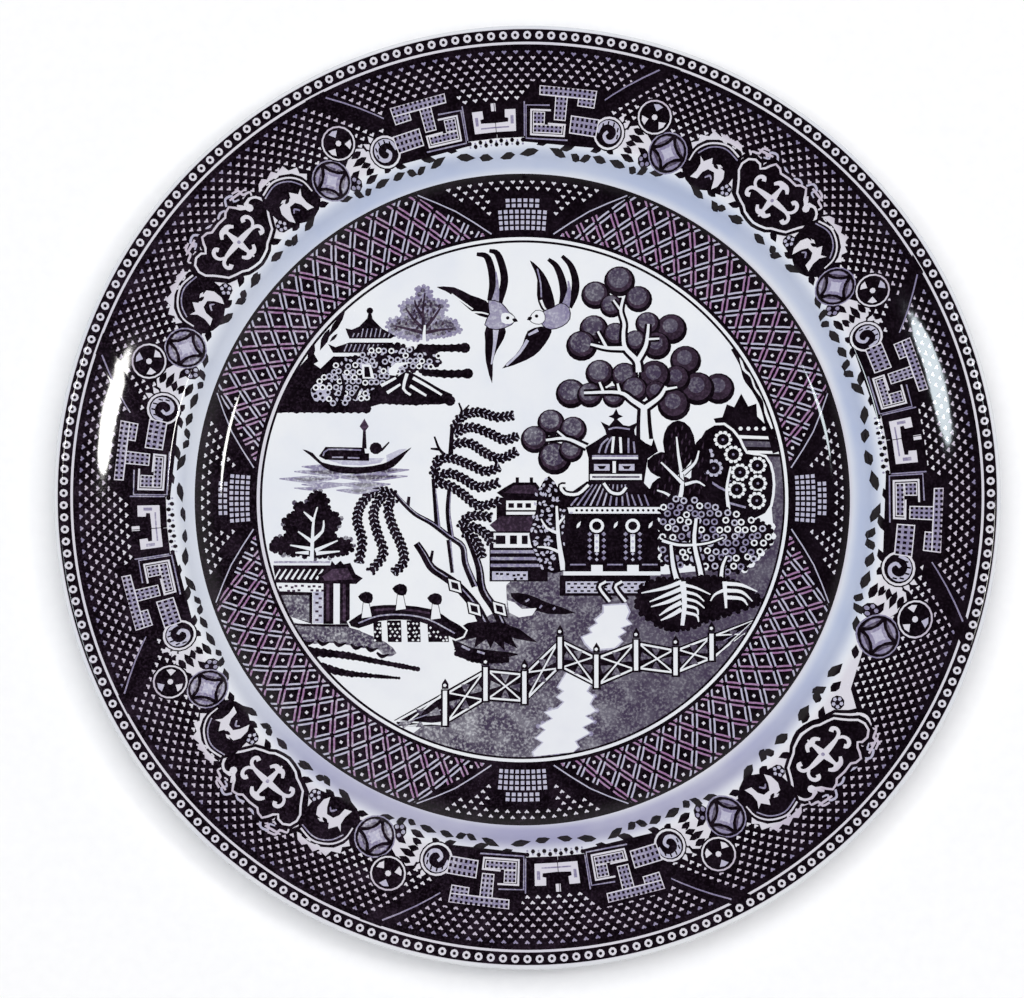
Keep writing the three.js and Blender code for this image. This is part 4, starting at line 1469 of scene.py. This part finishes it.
# %% Extrude the lip, the underside and the foot ring
upper_faces = len(bm.faces)
below = section(19)
first_row = next(i for i, (place, _) in enumerate(below) if place.x > JOIN_R + 0.1)
rows = below[first_row:-1] + [(Vector((40, BASE_RECESS)), Vector((0, -1)))]
open_edges = [e for e in bm.edges if e.is_boundary]
here = Vector((JOIN_R, on_top(JOIN_R)[0]))
path = [here] + [place for place, _ in rows] + [Vector((0, BASE_RECESS))]
around_section = sum((b - a).length for a, b in zip(path, path[1:]))
for edge in open_edges:
    for vert in edge.verts:
        vert[unrolled] = around_section
left_over = around_section
for place, normal in rows:
    made = bmesh.ops.extrude_edge_only(bm, edges=open_edges)["geom"]
    verts = [v for v in made if isinstance(v, bmesh.types.BMVert)]
    bmesh.ops.scale(bm, vec=(place.x / here.x, place.x / here.x, 1), verts=verts)
    bmesh.ops.translate(bm, vec=(0, 0, (place.y - here.y) * MM), verts=verts)
    left_over -= (place - here).length
    for vert in verts:
        spoke = Vector((vert.co.x, vert.co.y)).normalized()
        vert[facing] = (spoke.x * normal.x, spoke.y * normal.x, normal.y)
        vert[unrolled] = left_over
    open_edges = [e for e in made if isinstance(e, bmesh.types.BMEdge)]
    here = place
base = bmesh.ops.contextual_create(bm, geom=open_edges)["faces"]
middle = bmesh.ops.poke(bm, faces=base)["verts"]
for vert in middle:
    vert[facing] = (0, 0, -1)
    vert[unrolled] = 0.0
print(f"plate: {len(bm.faces)} faces, {sum(e.is_boundary for e in bm.edges)} open edges")

# %% Lay out the plate's map
# The upper face is mapped as it's seen from above. The lip and the underside are unrolled into a
# smaller disc in the opposite corner, since nothing is printed there.
UPPER_DISC, UNDER_DISC, MARGIN = 0.437, 0.136, 0.005
mapped = bm.loops.layers.uv.new("OFBake")
bm.faces.ensure_lookup_table()
for number, face in enumerate(bm.faces):
    face.smooth = True
    for loop in face.loops:
        spot = Vector((loop.vert.co.x, loop.vert.co.y)) / MM
        if number < upper_faces:
            loop[mapped].uv = spot * (UPPER_DISC / PLATE_R) + Vector((1, 1)) * (UPPER_DISC + MARGIN)
        else:
            out = loop.vert[unrolled] / around_section * UNDER_DISC
            away = spot.normalized() * out if spot.length > 1e-6 else Vector((0, 0))
            loop[mapped].uv = Vector((1, 1)) * (1 - UNDER_DISC - MARGIN) - Vector((away.x, -away.y))
print(f"map: the upper face takes a disc {2 * UPPER_DISC:.2f} of the square across")

# %% Make the plate's object
mesh = bpy.data.meshes.new("plate_glazed")
normals = [v[facing].copy() for v in bm.verts]
bm.to_mesh(mesh)
bm.free()
mesh.normals_split_custom_set_from_vertices(normals)
plate = bpy.data.objects.new("plate_glazed", mesh)
bpy.context.scene.collection.objects.link(plate)
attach(plate, "root")
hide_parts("plate")
print(f"object: {len(mesh.polygons)} faces, {plate.dimensions.x / MM:.1f} mm across")

# %% [markdown]
# ## Ways to write a finish
# A shader is a sum of fields, and it reads best written as one. This small class stands for one
# output of a node, so that fields can be added and multiplied like numbers, and one method adds
# any other kind of node. The quick way is to join nodes by hand, but that hides the sums.

# %% Fields of a shader
class Field:
    """One output of a shader's node, that can be used in sums."""

    def __init__(self, tree, socket=None):
        self.tree, self.socket = tree, socket

    def node(self, kind, settings=None, inputs=None, output=0):
        """Adds a node: its settings first, then its inputs. Gives one of its outputs."""
        made = self.tree.nodes.new(kind)
        for name, value in (settings or {}).items():
            setattr(made, name, value)
        for name, value in (inputs or {}).items():
            if isinstance(value, Field):
                self.tree.links.new(value.socket, made.inputs[name])
            else:
                made.inputs[name].default_value = value
        return Field(self.tree, made.outputs[output])

    def maths(self, operation, a, b=0.0):
        """One step of arithmetic."""
        return self.node("ShaderNodeMath", {"operation": operation}, {0: a, 1: b})

    def __add__(self, other):
        return self.maths("ADD", self, other)

    def __sub__(self, other):
        return self.maths("SUBTRACT", self, other)

    def __rsub__(self, other):
        return self.maths("SUBTRACT", other, self)

    def __mul__(self, other):
        return self.maths("MULTIPLY", self, other)

    def __truediv__(self, other):
        return self.maths("DIVIDE", self, other)

    __radd__, __rmul__ = __add__, __mul__

    def rise(self, low, high):
        """0 below one value, 1 above another, and a smooth climb between them."""
        return self.node("ShaderNodeMapRange", {"interpolation_type": "SMOOTHSTEP"},
                         {"Value": self, "From Min": low, "From Max": high})

    def noise(self, place, scale, detail=2.0):
        """An uneven field of a given number of features to the metre."""
        return self.node("ShaderNodeTexNoise", {}, {"Vector": place, "Scale": scale, "Detail": detail})

    def blend(self, low, high):
        """A colour between two others, by this field."""
        return self.node("ShaderNodeMix", {"data_type": "RGBA"}, {0: self, 6: low, 7: high}, output=2)


def srgb(red, green, blue):
    """A colour of light from the numbers a paint chart gives."""
    share = [c / 255 for c in (red, green, blue)]
    return [((c + 0.055) / 1.055) ** 2.4 if c > 0.04 else c / 12.92 for c in share] + [1.0]


# %% [markdown]
# ## The glaze and the ink
# The glaze is glassy and faintly blue. It's thin on the rim and the well, and has run down and pooled in
# the angle of the shoulder, where it's bluest. The pool also carries painted light and shade: it's paler
# on the left side, and darker and more violet towards the bottom. The ink under it was wiped by hand and
# printed from tissue, so even its solids are grainy and wash out in patches. The foot's standing ring was
# wiped clean and shows rough buff clay. All of the finishes share one recipe, since it's one skin of glaze
# over one clay.

# %% Tones of the ink
WHITE = srgb(231, 233, 237)
POOLED = srgb(184, 195, 223)
# The pooled glaze's colour darkened by painted shade, used towards the bottom of the shoulder.
SHADED_POOL = srgb(166, 163, 196)
CLAY, CLAY_SHADE, SPECK = srgb(176, 148, 118), srgb(120, 92, 70), srgb(92, 78, 84)
# The colour of each tone, and how much of it is missing where the ink is washed out.
TONES = {"pale": (176, 174, 197), "light": (128, 121, 153), "plum": (150, 108, 150),
         "middle": (66, 56, 78), "deep": (42, 31, 44), "solid": (8, 3, 8)}
WASH = {"pale": 0.5, "light": 0.45, "plum": 0.4, "middle": 0.3, "deep": 0.2, "solid": 0.045}
FILM = srgb(150, 120, 156)
# Each scar under the rim: its distance from the axis, its height and its angle.
SPURS = [(104, 14.6, turn) for turn in (50, 56, 170, 176, 290, 296)]
print(f"tones of the ink: {', '.join(TONES)}")


# %% What every finish shares
class Glaze:
    """The fields of one finish: where a point lies on the plate, and how uneven the glaze is."""

    def __init__(self, tree):
        self.field = Field(tree)
        self.place = self.field.node("ShaderNodeTexCoord", output="Object")
        self.x, self.y, self.z = [self.field.node("ShaderNodeSeparateXYZ", {}, {0: self.place},
                                                  output=axis) for axis in "XYZ"]
        squares = self.x * self.x + self.y * self.y
        self.radius = self.field.node("ShaderNodeMath", {"operation": "SQRT"}, {0: squares})
        self.cloud = self.field.noise(self.place, 38, 3)
        self.patch = self.field.noise(self.place, 170, 3)
        self.peel = self.field.noise(self.place, 420, 1)
        self.grain = self.field.noise(self.place, 1500, 2)

    def band(self, start, full, fades, end):
        """A soft-edged ring of the plate, by its distances from the axis in millimetres."""
        return self.radius.rise(start * MM, full * MM) * (1 - self.radius.rise(fades * MM, end * MM))

    def clear(self):
        """The colour of the glaze: bluer where it pooled, with painted light that makes the pool paler on
        the left and painted shade that makes it darker and more violet towards the bottom.
        """
        # Painted light and shade round the shoulder: left makes the pool paler on the plate's left side,
        # and low turns it darker and more violet towards the bottom.
        left = (0 - self.x / self.radius).rise(0.55, 1.0)
        low = (0 - self.y / self.radius).rise(0.35, 0.95)
        pool_and_side_light = self.band(86.8, 90.5, 92.2, 97.5) * (0.8 - left * 0.5) * (0.8 + self.cloud * 0.4)
        thick = pool_and_side_light + self.cloud.rise(0.35, 0.75) * 0.16 + self.patch.rise(0.4, 0.8) * 0.07
        return thick.blend(WHITE, (low * 0.9).blend(POOLED, SHADED_POOL))

    def flown(self):
        """How much ink has flown into the glaze over the print, on the upper face only."""
        on_rim = (self.z - self.radius * 0.2).rise(-0.0056, -0.0050)
        on_well = self.z.rise(0.0056, 0.0064)
        strip = self.radius.rise(0.0955, 0.0985) + self.band(109, 112, 120.5, 121.5)
        border = self.band(71.7, 72.7, 87.2, 88.5)
        return (strip * on_rim + border * on_well) * 0.27 * (1 - self.radius.rise(0.1257, 0.1262))

    def worn(self):
        """Where clay shows: the standing ring, and the scars of the spurs that held it in the kiln."""
        worn = 1 - self.z.rise(0.0002, 0.0005)
        for out, height, turn in SPURS:
            spot = Vector((*polar(turn, out), height)) * MM
            apart = self.field.node("ShaderNodeVectorMath", {"operation": "DISTANCE"},
                                    {0: self.place, 1: spot}, output="Value")
            worn = worn + (1 - apart.rise(0.0006, 0.0014))
        return worn

    def unprinted(self, colour, worn):
        """The colour of a bare part: bluer by the foot, with a few specks, and buff where worn."""
        corner = (1 - self.z.rise(0.0006, 0.004)) * self.band(70, 75.2, 81, 85)
        speck = self.grain.rise(0.80, 0.84) * self.patch.rise(0.5, 0.7)
        glassy = (speck * 0.7).blend((corner * 0.8).blend(colour, POOLED), SPECK)
        return worn.rise(0.0, 1.0).blend(glassy, (self.grain * 0.5).blend(CLAY, CLAY_SHADE))

    def printed(self, colour, name):
        """The colour of a printed part, with the ink missing here and there."""
        wiped = (0 - self.x - self.y * 0.4).rise(-0.06, 0.09)
        thin = self.grain.rise(0.42, 0.75) * 0.8 + self.patch.rise(0.4, 0.8) * 0.5
        missing = thin * WASH[name] * (wiped * 0.9 + 0.7)
        if name == "middle":
            missing = missing * (1.3 - self.x.rise(-0.01, 0.05) * 0.5)
        under = FILM if name in ("deep", "solid") else colour
        return missing.blend(srgb(*TONES[name]), under)


# %% One finish of the plate
def glazed(name):
    """The glaze over one tone of ink, or over nothing."""
    material = bpy.data.materials.new(f"glaze_{name}")
    material.use_nodes = True
    tree = material.node_tree
    shader = tree.nodes["Principled BSDF"]
    glaze = Glaze(tree)
    colour = glaze.flown().blend(glaze.clear(), FILM)
    roughness = 0.032 + glaze.grain * 0.012 + glaze.patch.rise(0.5, 0.8) * 0.03
    relief = glaze.field.noise(glaze.place, 55, 1) + glaze.peel * 0.05
    if name == "bare":
        worn = glaze.worn()
        colour = glaze.unprinted(colour, worn)
        roughness = roughness + worn * 0.7
        relief = relief + worn * glaze.peel * 1.5
    else:
        colour = glaze.printed(colour, name)
    tree.links.new(colour.socket, shader.inputs["Base Color"])
    tree.links.new(roughness.socket, shader.inputs["Roughness"])
    bump = glaze.field.node("ShaderNodeBump", {},
                            {"Strength": 1.0, "Distance": 0.00006, "Height": relief})
    tree.links.new(bump.socket, shader.inputs["Normal"])
    shader.inputs["IOR"].default_value = 1.5
    shader.inputs["Specular IOR Level"].default_value = 0.42
    return material


for name in FINISHES:
    plate.data.materials.append(glazed(name))
print(f"finishes: {len(plate.data.materials)}")

# %% [markdown]
# ## The floor, the light and the camera
# A glossy plate shows its lights, so only two narrow lamps are seen in the glaze, high up and to
# the sides: each makes one bright stroke where the dished rim turns to face it. Most of the light
# comes from a broad lamp overhead that the glaze doesn't mirror, and from a plain soft surround,
# brighter near the horizon, so that the flat well mirrors only the dark above it.

# %% The floor and the surround
floor_mesh = bpy.data.meshes.new("floor")
bm = bmesh.new()
bmesh.ops.create_grid(bm, x_segments=1, y_segments=1, size=3)
bm.to_mesh(floor_mesh)
bm.free()
floor = bpy.data.objects.new("floor", floor_mesh)
bpy.context.scene.collection.objects.link(floor)
paper = bpy.data.materials.new("paper")
paper.use_nodes = True
shader = paper.node_tree.nodes["Principled BSDF"]
field = Field(paper.node_tree)
fibre = field.noise(field.node("ShaderNodeTexCoord", output="Object"), 300, 2)
tint = fibre.blend(srgb(252, 252, 253), srgb(246, 246, 248))
paper.node_tree.links.new(tint.socket, shader.inputs["Base Color"])
shader.inputs["Roughness"].default_value = 0.9
shader.inputs["Specular IOR Level"].default_value = 0.1
floor_mesh.materials.append(paper)

world = bpy.data.worlds.new("studio")
bpy.context.scene.world = world
world.use_nodes = True
field = Field(world.node_tree)
sight = field.node("ShaderNodeTexCoord", output="Generated")
up = field.node("ShaderNodeSeparateXYZ", {}, {0: sight}, output="Z")
SURROUND, OVERHEAD = 0.5, 0.03
glow = (1 - up.rise(0.5, 0.88)) * (SURROUND - OVERHEAD) + OVERHEAD
background = world.node_tree.nodes["Background"]
background.inputs["Color"].default_value = (1, 1, 1, 1)
world.node_tree.links.new(glow.socket, background.inputs["Strength"])

print(f"floor: {floor.dimensions.x:.0f} m wide, under a surround of strength {SURROUND}")


# %% The lamps
def lamp(name, x, y, aim_y, wide, deep, power, tint):
    """A soft oval lamp, 1.5 m up, that faces a point on the plate's middle line."""
    light = bpy.data.lights.new(name, "AREA")
    light.shape = "ELLIPSE"
    light.size, light.size_y = wide, deep
    light.energy = power
    light.color = tint
    stand = bpy.data.objects.new(name, light)
    stand.location = (x, y, 1.5)
    stand.rotation_euler = (Vector((0, aim_y, 0)) - stand.location).to_track_quat("-Z", "Y").to_euler()
    bpy.context.scene.collection.objects.link(stand)
    return stand


lamp("left_lamp", -0.465, -0.005, 0.12, 0.15, 0.13, 1.15, (0.84, 0.94, 1.0))
lamp("right_lamp", 0.491, 0.040, 0.14, 0.16, 0.125, 1.9, (1.0, 0.985, 0.96))
overhead = lamp("overhead_lamp", 0.0, 0.05, 0.05, 0.9, 0.9, 17.0, (1.0, 1.0, 1.0))
overhead.visible_glossy = False
print("lamps: two that the glaze mirrors, and one that it doesn't")

# %% The camera
# It looks almost straight down, from a little to the front, and from far enough away that the
# plate's outline is nearly a true circle.
ELEVATION, DISTANCE = 85.3, 1.2
PICTURE_WIDE, SENSOR = 0.2740, 36.0
camera_data = bpy.data.cameras.new("camera")
camera_data.sensor_width = SENSOR
camera_data.lens = SENSOR * DISTANCE / PICTURE_WIDE
camera = bpy.data.objects.new("camera", camera_data)
target = Vector((-0.0041, -0.0016, PLATE_H * MM))
tilt = math.radians(ELEVATION)
camera.location = target + Vector((0, -math.cos(tilt), math.sin(tilt))) * DISTANCE
camera.rotation_euler = (target - camera.location).to_track_quat("-Z", "Y").to_euler()
bpy.context.scene.collection.objects.link(camera)
bpy.context.scene.camera = camera
bpy.context.scene.view_settings.view_transform = "Standard"
print(f"camera: {ELEVATION} degrees up, {DISTANCE} m away")
